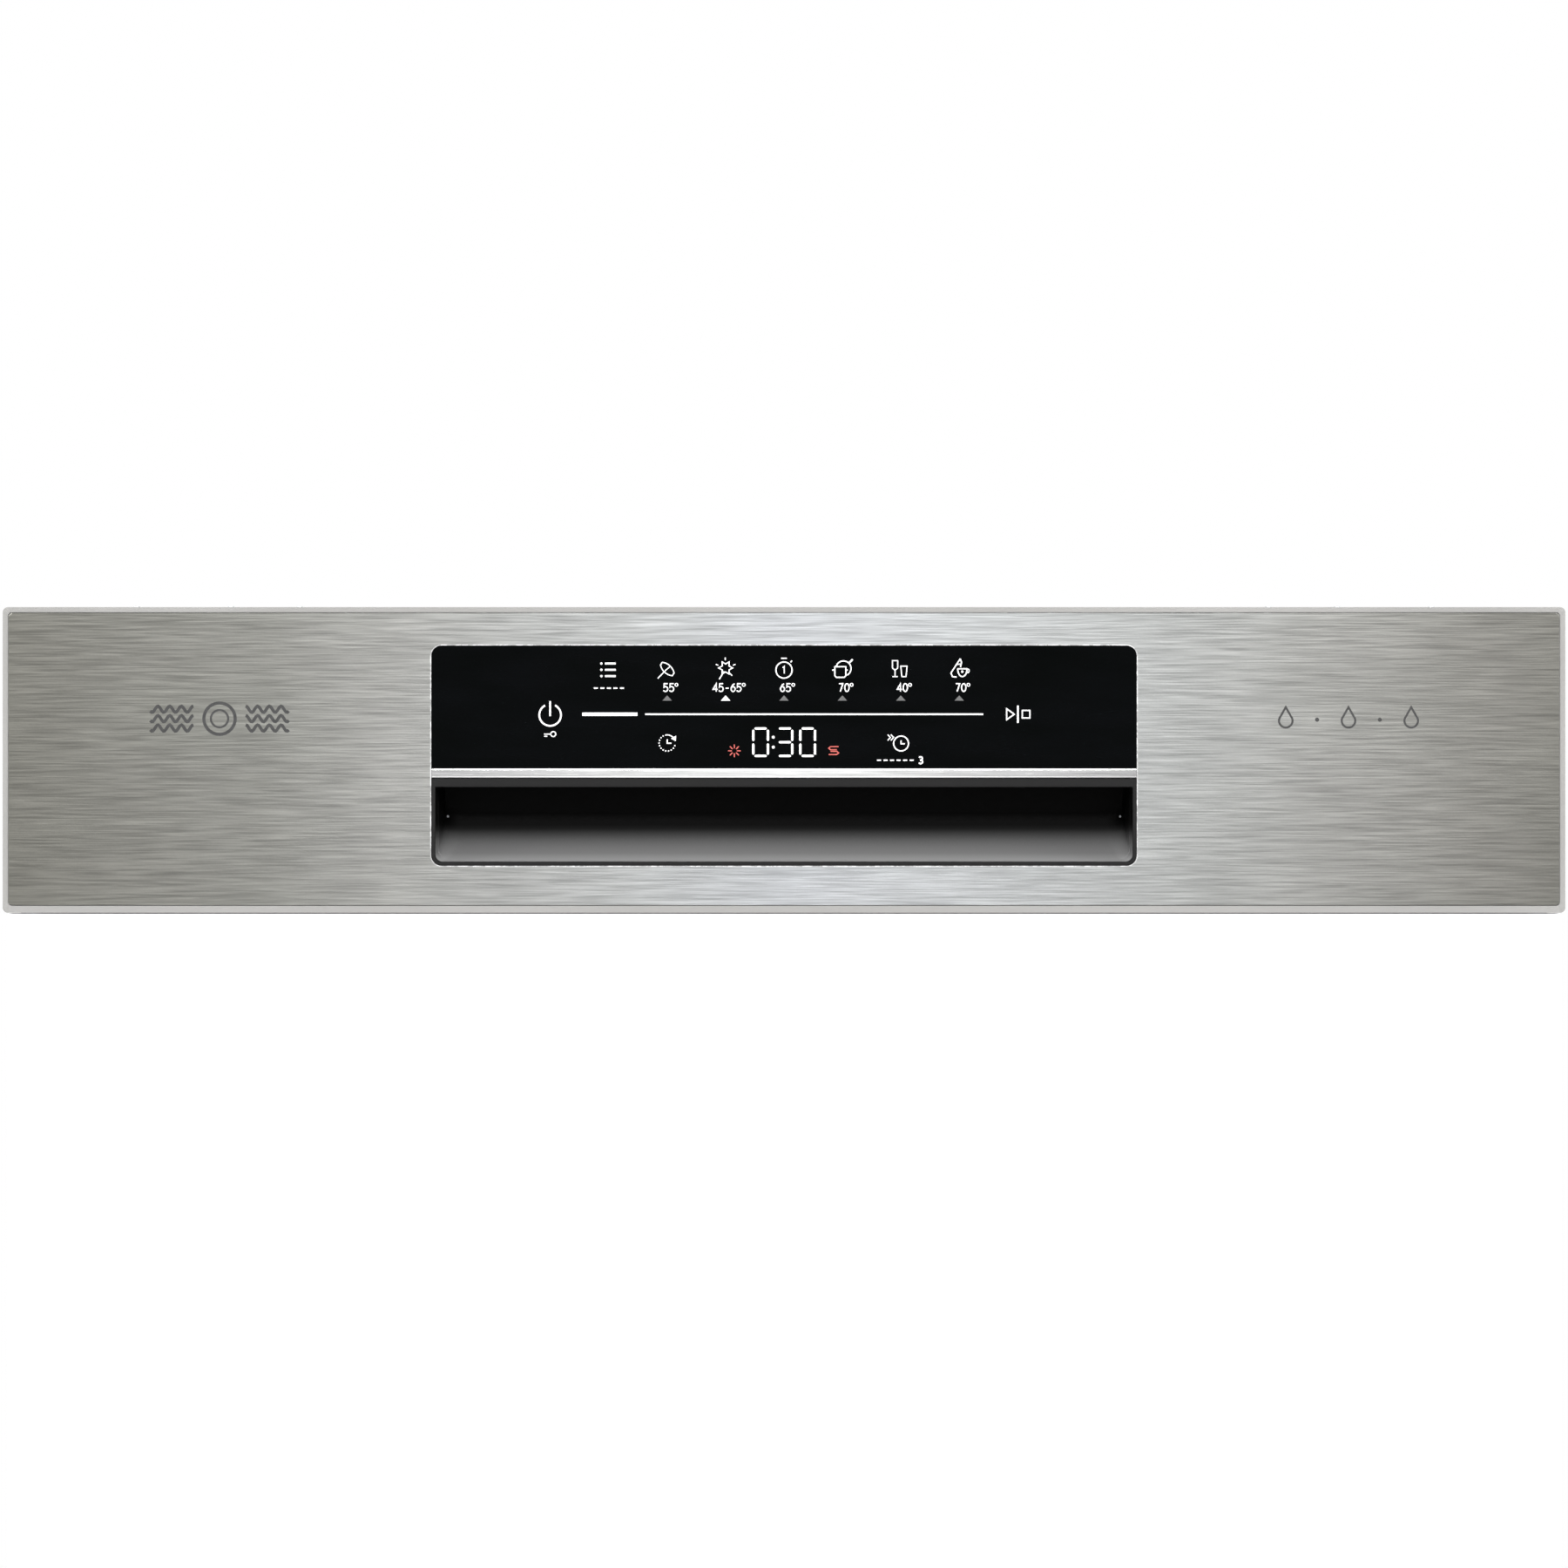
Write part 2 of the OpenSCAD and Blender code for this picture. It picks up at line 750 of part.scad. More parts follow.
// Pressed inner panel: a flange for the seal round a shallow dish
module door_inner_panel() {
  t = 1;
  dish = 12;
  y0 = inner_y - 17.5;
  color("lightgray")
    difference() {
      union() {
        difference() {
          block([-door_half, y0, inner_low_z], [door_half, inner_y, door_top_z]);
          block([-door_half + t, y0 - 1, inner_low_z + t], [door_half - t, inner_y - t, door_top_z - t]);
        }
        block([-261, inner_y - dish - t, 184], [261, inner_y - t / 2, 786]);
      }
      block([-260, inner_y - dish, 185], [260, inner_y + 1, 785]);
      block([-101, y0 - 1, 419], [61, inner_y + 1, 561]);
      block([-9, inner_y - 3, 806.6], [9, inner_y + 1, 811]);
    }
}

module door_bottom_seal() {
  color("darkslategray")
    across(-240, 240)
      polygon([[inner_y + 0.1, inner_low_z + 1], [inner_y + 9.4, inner_low_z + 3],
               [inner_y + 9.4, inner_low_z + 5], [inner_y + 3, inner_low_z + 6],
               [inner_y + 0.1, inner_low_z + 12]]);
}

module furniture_front() {
  half = body_w / 2 - 2;
  color("white")
    difference() {
      block([-half, front_y, front_low_z], [half, front_y + front_t, fascia_low_z - front_gap]);
      // Pilot holes in the rear face for the door's fixing screws
      for (x = [-250, 250])
        for (z = [180, 420, 640]) rod_y(front_y + front_t - 12, front_y + front_t + 1, x, z, 1.5);
    }
}

module hinge_arms() {
  color("silver")
    both_sides()
      difference() {
        across(door_half + 0.1, door_half + 3)
          union() {
            translate([axis_y, axis_z]) circle(r = 15);
            translate([door_y + 4, axis_z]) square([40, 260]);
          }
        rod_x(door_half - 1, door_half + 5, axis_y, axis_z, pin_r + running_gap);
      }
}

module door_screws() {
  color("gray") {
    both_sides()
      for (z = [230, 370])
        intersection() {
          rod_x(door_half + 3.1, door_half + 4.8, axis_y - 20, z, 4);
          translate([door_half + 1.5, axis_y - 20, z]) sphere(r = 4.2);
        }
    for (x = [-240, -120, 120, 240]) rod_z(door_top_z + 0.05, door_top_z + 1.4, x, axis_y - 20, 4);
  }
}

// Hook that rises into the strike's window when the door locks
module latch_hook() {
  y0 = frame_y - 40;
  z0 = 800;
  color("white")
    difference() {
      across(-3.5, 3.5)
        union() {
          translate([y0, z0]) circle(r = 5);
          polygon([[y0, z0 - 3], [y0 + 24, z0 - 1], [y0 + 24, z0 + 6.6], [y0 + 21, z0 + 6.6],
                   [y0 + 18, z0 + 3], [y0, z0 + 3]]);
        }
      rod_x(-5, 5, y0, z0, 2);
    }
}

module dispenser_body() {
  face = inner_y - 4;
  color("whitesmoke")
    difference() {
      block([-100, inner_y - 28, 420], [60, face, 560]);
      // Detergent cup
      block([-88, inner_y - 24, 432], [-22, face + 1, 498]);
      // Rinse-aid tank, filled through the round mouth
      block([-14, inner_y - 25, 450], [52, face - 4, 540]);
      rod_y(inner_y - 20, face + 1, 20, 490, 12);
    }
}

module dispenser_lid() {
  color("white") {
    block([-91, inner_y - 3.8, 428], [-19, inner_y - 1.4, 501]);
    rod_x(-91, -19, inner_y - 2.4, 427.5, 1.4);
    block([-62, inner_y - 1.5, 492], [-48, inner_y - 0.2, 499]);
  }
}

module rinse_cap() {
  color("lightsteelblue") {
    rod_y(inner_y - 3.8, inner_y - 1.6, 20, 490, 16);
    rod_y(inner_y - 1.7, inner_y - 0.4, 20, 500, 4);
    rod_x(12, 28, inner_y - 2.4, 473.5, 1.4);
  }
}

// ---------- Upper rack ----------

// Telescopic sliders: the rack's own tongue runs in their inner groove
module rail_sliders() {
  color("gainsboro")
    both_sides()
      difference() {
        block([259, -193, rail_z - 8], [267, 201, rail_z + 8]);
        block([258, -194, rail_z - 3.6], [263, 202, rail_z + 3.6]);
      }
}

// A ring of four wires at one height
module wire_ring(z, t) {
  for (y = [rack_front_y, rack_back_y]) wire([-rack_half, y, z], [rack_half, y, z], t);
  for (x = [-rack_half, rack_half]) wire([x, rack_front_y, z], [x, rack_back_y, z], t);
}

// Floor grid and upright wires of a rack
module wire_basket(floor_z, rim_z) {
  steps = floor((rack_half - 18) / wire_pitch);
  for (i = [-steps:steps]) {
    x = i * wire_pitch;
    wire([x, rack_front_y, floor_z], [x, rack_back_y, floor_z]);
    for (y = [rack_front_y, rack_back_y]) wire([x, y, floor_z], [x, y, rim_z]);
  }
  for (y = [rack_front_y + 7:wire_pitch:rack_back_y]) {
    wire([-rack_half, y, floor_z + wire_rise], [rack_half, y, floor_z + wire_rise]);
    for (x = [-rack_half, rack_half]) wire([x, y, floor_z + wire_rise], [x, y, rim_z]);
  }
  wire_ring(rim_z, wire_t + 1.6);
  wire_ring((floor_z + rim_z) / 2, wire_t);
  wire_ring(floor_z + wire_rise, wire_t);
}

module upper_rack() {
  tongue = 8;
  color("lightgray") {
    wire_basket(upper_floor_z, upper_rim_z);
    both_sides() {
      block([rack_half + 7, -190, rail_z - 3], [rack_half + 7 + tongue, 200, rail_z + 3]);
      for (y = [-150, 0, 150])
        block([rack_half - 1, y - 8, rail_z - 6], [rack_half + 9, y + 8, rail_z + 6]);
    }
    // Two rows of low tines
    for (y = [-60, 70])
      for (x = [-60:wire_pitch:206]) wire([x, y, upper_floor_z], [x, y, upper_floor_z + 62]);
    for (y = [-60, 70]) wire([-76, y, upper_floor_z + wire_rise], [228, y, upper_floor_z + wire_rise]);
  }
}

module upper_arm_feed() {
  z0 = upper_arm_z + 19;
  color("gray")
    difference() {
      union() {
        block([-9, center_y - 12, z0], [9, 212.5, z0 + 14]);
        rod_z(upper_arm_z + 4, z0 + 1, 0, center_y, column_r);
        for (y = [60, 170]) block([-14, y, z0 + 12], [14, y + 10, upper_floor_z - 2]);
      }
      rod_z(upper_arm_z + 3, z0 + 8, 0, center_y, 6);
      rod_y(190, 213, 0, z0 + 7, 5.5);
    }
}

module cup_shelf() {
  reach = 105;
  color("lightgray")
    translate([shelf_x, 0, shelf_z]) {
      rod_y(-150, 150, 0, 0, 2);
      for (y = [-148:37:148]) wire([0, y, 0], [reach, y, 0], 2.6);
      for (x = [reach / 2, reach]) wire([x, -148, 0], [x, 148, 0], 2.6);
    }
}

// ---------- Lower rack ----------

module lower_rack() {
  saddle_half = 3.8;
  color("lightgray") {
    wire_basket(lower_floor_z, lower_rim_z);
    // Rows of fixed plate tines
    for (y = [tine_y + 57, tine_y + 114]) {
      for (x = [-190:tine_pitch:190]) wire([x, y, lower_floor_z], [x, y, lower_floor_z + 75]);
      wire([-228, y, lower_floor_z + wire_rise], [228, y, lower_floor_z + wire_rise]);
    }
    // Bearing saddles of the folding row
    for (x = [-190, 190])
      difference() {
        block([x - 4, tine_y - saddle_half, lower_floor_z], [x + 4, tine_y + saddle_half, tine_z + 6]);
        rod_x(x - 5, x + 5, tine_y, tine_z, 2.05);
      }
  }
}

// Clips under the side wires of the lower rack, each with a wheel's axle
module wheel_carriers() {
  half = 9;
  wire_low_z = lower_floor_z + wire_rise - wire_t / 2;
  lip_x = rack_half + wire_t / 2 + 0.15;
  color("gray")
    both_sides()
      for (y = [wheel_front_y, wheel_rear_y]) {
        block([rack_half - 3, y - half, wheel_z - half], [rack_half + 2, y + half, wire_low_z - 0.1]);
        block([lip_x, y - half, wire_low_z - 11], [lip_x + 1.8, y + half, wire_low_z + 7]);
        rod_x(rack_half, wheel_x + 12, y, wheel_z, axle_r);
      }
}

module folding_tines() {
  color("lightgray") {
    rod_x(-200, 200, tine_y, tine_z, 2);
    for (x = [-165:tine_pitch:165]) wire([x, tine_y, tine_z], [x, tine_y, tine_z + 72], 2.8);
  }
}

module cutlery_basket() {
  x0 = 45;
  x1 = 228;
  y0 = -178;
  y1 = -72;
  z0 = lower_floor_z + 5;
  z1 = z0 + 122;
  t = 2;
  cell = (x1 - x0 - t) / 3;
  slot_w = 5;
  slot_pitch = 13;
  post_t = 3;
  color("gray") {
    difference() {
      block([x0, y0, z0], [x1, y1, z1]);
      for (i = [0:2])
        block([x0 + t + i * cell, y0 + t, z0 + t], [x0 + (i + 1) * cell, y1 - t, z1 + 1]);
      // Drain slots in the long walls and in the floor
      for (i = [0:2])
        for (k = [0:3])
          for (s = [0, 1])
            block([x0 + i * cell + 9 + k * slot_pitch, y0 - 1, z0 + 12 + s * 54],
                  [x0 + i * cell + 9 + k * slot_pitch + slot_w, y1 + 1, z0 + 52 + s * 54]);
      for (i = [0:2])
        for (k = [0:3])
          block([x0 + i * cell + 9 + k * slot_pitch, y0 + 12, z0 - 1],
                [x0 + i * cell + 9 + k * slot_pitch + slot_w, y1 - 12, z0 + 3]);
    }
    // Carrying handle
    for (x = [x0, x1 - post_t]) block([x, -131, z1 - 6], [x + post_t, -119, z1 + 52]);
    block([x0, -131, z1 + 46], [x1, -119, z1 + 54]);
  }
}

// The two wheels that share one axle line
module wheel_pair(y) {
  color("gray")
    both_sides()
      difference() {
        union() {
          rod_x(wheel_x, wheel_x + 9, y, wheel_z, wheel_r);
          rod_x(wheel_x - 1, wheel_x + 10, y, wheel_z, 6);
        }
        rod_x(wheel_x - 2, wheel_x + 11, y, wheel_z, axle_r + running_gap);
        for (a = [0:60:300])
          translate([wheel_x - 1, y, wheel_z])
            rotate([a, 0, 0]) translate([0, 11, 0]) rotate([0, 90, 0]) cylinder(h = 12, r = 2.6);
      }
}
module wheels_front() { wheel_pair(wheel_front_y); }
module wheels_rear() { wheel_pair(wheel_rear_y); }

base_tray();
plinth();
foot_front_left();
foot_front_right();
foot_rear();
tub_wrap();
tub_floor();
front_frame();
door_seal();
outer_panels();
insulation_jacket();
top_frame();
hinge_brackets();
door_springs();
sump();
wash_pump_housing();
wash_pump_rotor();
drain_pump_housing();
drain_pump_rotor();
salt_container();
salt_cap();
air_break_box();
inlet_valve();
internal_hoses();
terminal_box();
filter_plate();
filter_cylinder();
feed_pipe();
rail_channels();
latch_strike();
lower_spray_arm();
upper_spray_arm();
ceiling_spray_arm();
fascia_plate();
fascia_carrier();
display_glass();
accent_strip();
grip_recess();
control_board();
door_outer_panel();
door_insulation();
door_inner_panel();
door_bottom_seal();
furniture_front();
hinge_arms();
door_screws();
latch_hook();
dispenser_body();
dispenser_lid();
rinse_cap();
rail_sliders();
upper_rack();
upper_arm_feed();
cup_shelf();
lower_rack();
wheel_carriers();
folding_tines();
cutlery_basket();
wheels_front();
wheels_rear();
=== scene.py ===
# Looks of a built-in dishwasher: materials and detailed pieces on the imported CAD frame.
# Lengths are millimetres unless a comment says otherwise; MM turns them into Blender's metres.
import json
import math

import bmesh
import bpy
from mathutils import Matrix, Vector


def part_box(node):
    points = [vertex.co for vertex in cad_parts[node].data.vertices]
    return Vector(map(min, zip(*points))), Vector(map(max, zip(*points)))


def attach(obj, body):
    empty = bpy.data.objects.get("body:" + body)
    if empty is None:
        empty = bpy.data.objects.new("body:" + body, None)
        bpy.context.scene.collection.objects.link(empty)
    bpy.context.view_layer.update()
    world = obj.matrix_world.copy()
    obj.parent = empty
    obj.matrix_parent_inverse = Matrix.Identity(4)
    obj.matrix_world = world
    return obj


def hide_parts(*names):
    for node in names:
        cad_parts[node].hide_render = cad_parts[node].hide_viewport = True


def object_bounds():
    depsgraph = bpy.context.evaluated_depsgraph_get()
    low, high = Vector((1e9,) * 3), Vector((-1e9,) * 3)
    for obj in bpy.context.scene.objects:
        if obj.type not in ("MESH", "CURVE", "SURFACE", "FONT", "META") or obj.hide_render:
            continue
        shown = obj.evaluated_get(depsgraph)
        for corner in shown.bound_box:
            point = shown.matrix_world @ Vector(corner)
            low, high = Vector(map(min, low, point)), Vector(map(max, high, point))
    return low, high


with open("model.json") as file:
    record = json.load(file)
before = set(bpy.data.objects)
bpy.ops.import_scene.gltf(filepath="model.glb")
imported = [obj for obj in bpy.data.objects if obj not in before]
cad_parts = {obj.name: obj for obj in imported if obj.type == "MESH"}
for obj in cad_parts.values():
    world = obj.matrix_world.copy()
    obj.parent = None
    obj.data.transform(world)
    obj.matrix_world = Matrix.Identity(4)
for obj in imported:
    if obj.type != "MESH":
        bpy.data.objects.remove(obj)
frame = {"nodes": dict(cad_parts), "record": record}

MM = 0.001
SIDEWAYS, BACKWARDS, UP = (1, 0, 0), (0, 1, 0), (0, 0, 1)
CAD_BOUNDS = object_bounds()
SLOT_OF = {part["node"]: part["material_slot"] for part in frame["record"]["subparts"]}


def box(node):
    """Lowest and highest corners of a CAD node, in millimetres."""
    low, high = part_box(node)
    return Vector(low) / MM, Vector(high) / MM


def linear(*levels):
    """Display levels from 0 to 255 as a linear colour."""
    scaled = [level / 255 for level in (levels * 3 if len(levels) == 1 else levels)]
    return [v / 12.92 if v <= 0.04045 else ((v + 0.055) / 1.055) ** 2.4 for v in scaled]


def new_object(name, data):
    made = bpy.data.objects.new(name, data)
    bpy.context.collection.objects.link(made)
    return made


def declare(piece, body, replaces):
    """Say which body a piece rides on and the CAD nodes that it stands for."""
    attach(piece, body)
    if replaces:
        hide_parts(*replaces)
    return piece


# ---------- Materials ----------

class Finish:
    """A Principled material with short calls that add procedural detail in object coordinates."""

    def __init__(self, name, colour, rough, **sockets):
        self.mat = bpy.data.materials.new(name)
        self.mat.use_nodes = True
        self.tree = self.mat.node_tree
        self.shader = self.tree.nodes["Principled BSDF"]
        self.shader.inputs["Base Color"].default_value = (*colour, 1.0)
        self.shader.inputs["Roughness"].default_value = rough
        for socket, value in sockets.items():
            self.shader.inputs[socket.replace("_", " ")].default_value = value

    def add(self, kind, inputs, **settings):
        made = self.tree.nodes.new(kind)
        for key, value in settings.items():
            setattr(made, key, value)
        for key, value in inputs.items():
            if isinstance(value, bpy.types.NodeSocket):
                self.tree.links.new(value, made.inputs[key])
            else:
                made.inputs[key].default_value = value
        return made

    def coords(self, stretch):
        place = self.add("ShaderNodeTexCoord", {}).outputs["Object"]
        return self.add("ShaderNodeMapping", {"Vector": place, "Scale": stretch}).outputs["Vector"]

    def noise(self, *stretch, detail=3.0, gain=0.5):
        """Noise with features of about 1/stretch metres along X, Y and Z."""
        place = self.coords(stretch * 3 if len(stretch) == 1 else stretch)
        inputs = {"Vector": place, "Scale": 1.0, "Detail": detail, "Roughness": gain}
        return self.add("ShaderNodeTexNoise", inputs).outputs["Fac"]

    def cells(self, scale, feature="F1", output="Distance"):
        inputs = {"Vector": self.coords((scale, scale, scale)), "Scale": 1.0}
        return self.add("ShaderNodeTexVoronoi", inputs, feature=feature).outputs[output]

    def waves(self, axis, scale, stretch=(1, 1, 1)):
        inputs = {"Vector": self.coords(stretch), "Scale": scale}
        settings = {"wave_type": "BANDS", "bands_direction": axis, "wave_profile": "SIN"}
        return self.add("ShaderNodeTexWave", inputs, **settings).outputs["Fac"]

    def along(self, axis):
        place = self.add("ShaderNodeTexCoord", {}).outputs["Object"]
        return self.add("ShaderNodeSeparateXYZ", {"Vector": place}).outputs[axis]

    def remap(self, value, source, target):
        inputs = {"Value": value, "From Min": source[0], "From Max": source[1],
                  "To Min": target[0], "To Max": target[1]}
        return self.add("ShaderNodeMapRange", inputs).outputs["Result"]

    def ramp(self, value, stops):
        made = self.add("ShaderNodeValToRGB", {"Fac": value})
        elements = made.color_ramp.elements
        while len(elements) < len(stops):
            elements.new(0.5)
        for element, (position, colour) in zip(elements, stops):
            element.position = position
            element.color = (*colour, 1.0)
        return made.outputs["Color"]

    def mix(self, factor, first, second, blend="MIX"):
        made = self.add("ShaderNodeMix", {}, data_type="RGBA", blend_type=blend)
        for socket, value in ((0, factor), (6, first), (7, second)):
            if isinstance(value, bpy.types.NodeSocket):
                self.tree.links.new(value, made.inputs[socket])
            else:
                made.inputs[socket].default_value = value if socket == 0 else (*value, 1.0)
        return made.outputs[2]

    def join(self, operation, first, second):
        made = self.add("ShaderNodeMath", {0: first, 1: second}, operation=operation)
        return made.outputs["Value"]

    def paint(self, colour):
        self.tree.links.new(colour, self.shader.inputs["Base Color"])
        return self

    def rough(self, value, low, high):
        self.tree.links.new(self.remap(value, (0.3, 0.7), (low, high)), self.shader.inputs["Roughness"])
        return self

    def bump(self, value, depth, strength=1.0):
        """Raise the surface by a pattern; depth is in millimetres."""
        inputs = {"Height": value, "Distance": depth * MM, "Strength": strength}
        before = self.shader.inputs["Normal"].links
        if before:
            inputs["Normal"] = before[0].from_socket
        made = self.add("ShaderNodeBump", inputs)
        self.tree.links.new(made.outputs["Normal"], self.shader.inputs["Normal"])
        return self


def tones(*levels):
    """Evenly spaced ramp stops, each a display level or a colour of three."""
    colours = [linear(*(level if isinstance(level, tuple) else (level,))) for level in levels]
    return [(i / (len(colours) - 1), colour) for i, colour in enumerate(colours)]


def spread(stops, low, high):
    """The same ramp stops pushed together between two positions."""
    return [(low + position * (high - low), colour) for position, colour in stops]


def fascia_steel():
    """Horizontally brushed stainless: fine streaks, and a painted highlight in its colour, bright and cool in
    the middle and darker and warmer at the ends.
    """
    made = Finish("brushed_steel", linear(190), 0.34, Metallic=1.0, Anisotropic=0.55)
    half = body_half * MM
    across = made.remap(made.along("X"), (-half, half), (0.0, 1.0))
    # Painted highlight: the colour across the width is painted lighter and cooler in the middle and darker
    # towards the ends, where the light's reflection falls off.
    tint_with_painted_light = made.ramp(across, [
        (0.00, linear(149, 148, 140)), (0.17, linear(170, 170, 164)), (0.25, linear(193, 193, 189)),
        (0.39, linear(213, 215, 214)), (0.50, linear(229, 232, 235)), (0.61, linear(229, 232, 233)),
        (0.75, linear(207, 209, 207)), (0.84, linear(191, 191, 187)), (0.94, linear(167, 166, 160)),
        (1.00, linear(153, 152, 145))])
    fine = made.noise(50, 1, 2600, detail=2.0)
    long = made.noise(26, 1, 900, detail=2.0)
    streaks = made.join("ADD", made.remap(fine, (0.3, 0.7), (-0.10, 0.10)),
                        made.remap(long, (0.3, 0.7), (-0.06, 0.06)))
    shade = made.ramp(made.remap(streaks, (-0.2, 0.2), (0.0, 1.0)), tones(205, 255))
    made.paint(made.mix(1.0, tint_with_painted_light, shade, "MULTIPLY"))
    made.rough(fine, 0.28, 0.40)
    return made.bump(fine, 0.012, 0.6)


def sheet_steel(name, levels, rough):
    """Bright rolled sheet with a faint grain and soft stains."""
    made = Finish(name, linear(levels[0]), rough, Metallic=1.0)
    grain = made.noise(900, 900, 30, detail=2.0)
    cloud = made.noise(6, detail=2.0)
    made.paint(made.ramp(made.join("ADD", grain, made.remap(cloud, (0.3, 0.7), (-0.3, 0.3))),
                         spread(tones(*levels), 0.2, 0.8)))
    return made.rough(cloud, rough - 0.05, rough + 0.08).bump(grain, 0.01, 0.4)


def galvanised():
    """Zinc sheet: spangle crystals of slightly different greys."""
    made = Finish("galvanised", linear(178), 0.42, Metallic=0.85)
    spangle = made.cells(160, output="Color")
    level = made.add("ShaderNodeSeparateColor", {"Color": spangle}).outputs["Red"]
    cloud = made.noise(9, detail=3.0)
    mixed = made.join("ADD", made.remap(level, (0, 1), (-0.16, 0.16)), cloud)
    made.paint(made.ramp(mixed, spread(tones((158, 163, 168), (188, 191, 194)), 0.25, 0.75)))
    return made.rough(level, 0.36, 0.50).bump(made.noise(500), 0.01, 0.5)


def moulded(name, levels, rough=0.45, grain=900, depth=0.02, **sockets):
    """Moulded plastic: fine grain, faint flow clouds."""
    made = Finish(name, linear(*levels[0]), rough, **sockets)
    cloud = made.noise(14, detail=3.0)
    made.paint(made.ramp(cloud, spread(tones(*levels), 0.3, 0.7)))
    texture = made.noise(grain, detail=2.0)
    return made.rough(texture, rough - 0.06, rough + 0.08).bump(texture, depth, 0.6)


def black_glass():
    """Deep black touch glass with the faintest smear in its gloss."""
    made = Finish("black_glass", linear(2, 3, 4), 0.06, Specular_IOR_Level=0.05)
    smear = made.noise(25, 25, 90, detail=3.0)
    made.paint(made.ramp(smear, spread(tones((2, 3, 3), (4, 5, 6)), 0.3, 0.7)))
    return made.rough(smear, 0.04, 0.09)


def bright_strip():
    """Polished strip with a painted highlight: its colour is painted bright in the middle and greyer at its
    ends.
    """
    made = Finish("bright_strip", linear(235), 0.22, Metallic=0.9)
    half = insert_half * MM
    across = made.remap(made.along("X"), (-half, half), (0.0, 1.0))
    # Painted highlight: lighter in the middle, greyer towards both ends.
    tint_with_painted_light = made.ramp(across, [(0.0, linear(196)), (0.22, linear(226)), (0.5, linear(255)),
                              (0.78, linear(216)), (1.0, linear(184))])
    grain = made.noise(60, 1, 2500, detail=2.0)
    made.paint(made.mix(0.12, tint_with_painted_light, made.ramp(grain, tones(170, 255)), "MULTIPLY"))
    return made.rough(grain, 0.18, 0.28)


def grip_plastic():
    """Satin grip shell: dark rim, and a slope with painted shade, grey low down and painted darker upwards to
    black at the back wall under the lip.
    """
    made = Finish("grip_plastic", linear(60), 0.5, Specular_IOR_Level=0.06)
    foot = (recess_low.z + GRIP_LIP) * MM
    rise = made.remap(made.along("Z"), (foot, foot + SCOOP_RISE * MM), (0.0, 1.0))
    # Painted shade: the slope's grey is painted darker with height and black at the back wall, for the shadow
    # that the lip casts into the hollow.
    painted_shade_slope = made.ramp(rise, [(0.04, linear(148)), (0.16, linear(118)), (0.34, linear(97)),
                             (0.51, linear(64)), (0.65, linear(26)), (0.74, linear(8)), (0.84, linear(3))])
    face = recess_low.y * MM
    inside = made.remap(made.along("Y"), (face + 0.35 * MM, face + 0.6 * MM), (0.0, 1.0))
    tint_with_painted_light = made.mix(inside, linear(32), painted_shade_slope)
    grain = made.noise(1400, detail=2.0)
    made.paint(made.mix(0.2, tint_with_painted_light, made.ramp(grain, tones(150, 255)), "MULTIPLY"))
    return made.rough(grain, 0.44, 0.56).bump(grain, 0.015, 0.5)


def white_lacquer():
    """Lacquered board with a very fine orange peel."""
    made = Finish("white_lacquer", linear(252), 0.30, Specular_IOR_Level=0.4)
    peel = made.noise(260, detail=2.0)
    made.paint(made.ramp(made.noise(5, detail=2.0), spread(tones(250, 253), 0.3, 0.7)))
    return made.rough(peel, 0.26, 0.36).bump(peel, 0.03, 0.35)


def felt():
    """Bitumen and felt mat: crossed fibres over soft lumps."""
    made = Finish("felt", linear(70), 0.95, Specular_IOR_Level=0.1, Sheen_Weight=0.3)
    fibres = made.join("MAXIMUM", made.noise(160, 1300, 1300, detail=4.0),
                       made.noise(1300, 200, 1100, detail=4.0))
    made.paint(made.ramp(fibres, spread(tones((46, 46, 49), (84, 84, 88), (128, 127, 126)), 0.42, 0.72)))
    return made.bump(made.noise(60, detail=3.0), 0.8, 0.5).bump(fibres, 0.4, 0.8)


def mesh_steel():
    """Stainless filter cloth: a fine square weave with dark openings."""
    made = Finish("filter_mesh", linear(170), 0.4, Metallic=0.9)
    threads, slant = 240, 0.7071
    first = made.waves("X", threads, (1, slant, 1))
    second = made.join("MAXIMUM", made.waves("Z", threads), made.waves("Y", threads))
    weave = made.join("MULTIPLY", first, second)
    made.paint(made.ramp(weave, [(0.0, linear(52)), (0.25, linear(120)),
                                 (0.6, linear(196)), (1.0, linear(214))]))
    return made.bump(weave, 0.25, 0.7)


def circuit_board():
    """Green solder mask with lighter tracks."""
    made = Finish("circuit_board", linear(24, 92, 54), 0.35)
    tracks = made.cells(420, feature="DISTANCE_TO_EDGE")
    made.paint(made.ramp(tracks, [(0.0, linear(58, 140, 86)), (0.08, linear(40, 118, 70)),
                                  (0.12, linear(18, 80, 44)), (1.0, linear(14, 70, 40))]))
    return made.bump(tracks, 0.05, 0.4)


def rubber(name, level, grain):
    """Soft seal rubber with a dusty bloom."""
    made = Finish(name, linear(level), 0.62, Specular_IOR_Level=0.35)
    bloom = made.noise(40, detail=4.0)
    made.paint(made.ramp(bloom, spread(tones(level - 8, level + 14), 0.3, 0.7)))
    return made.rough(bloom, 0.52, 0.74).bump(made.noise(grain, detail=2.0), 0.03, 0.6)


def nylon_wire():
    """Grey nylon coating with slight waves from dipping."""
    made = Finish("rack_wire", linear(172, 176, 182), 0.32, Coat_Weight=0.25, Coat_Roughness=0.2)
    dip = made.noise(120, detail=2.0)
    made.paint(made.ramp(dip, spread(tones((160, 165, 172), (186, 190, 196)), 0.3, 0.7)))
    return made.rough(dip, 0.26, 0.40).bump(dip, 0.06, 0.5)


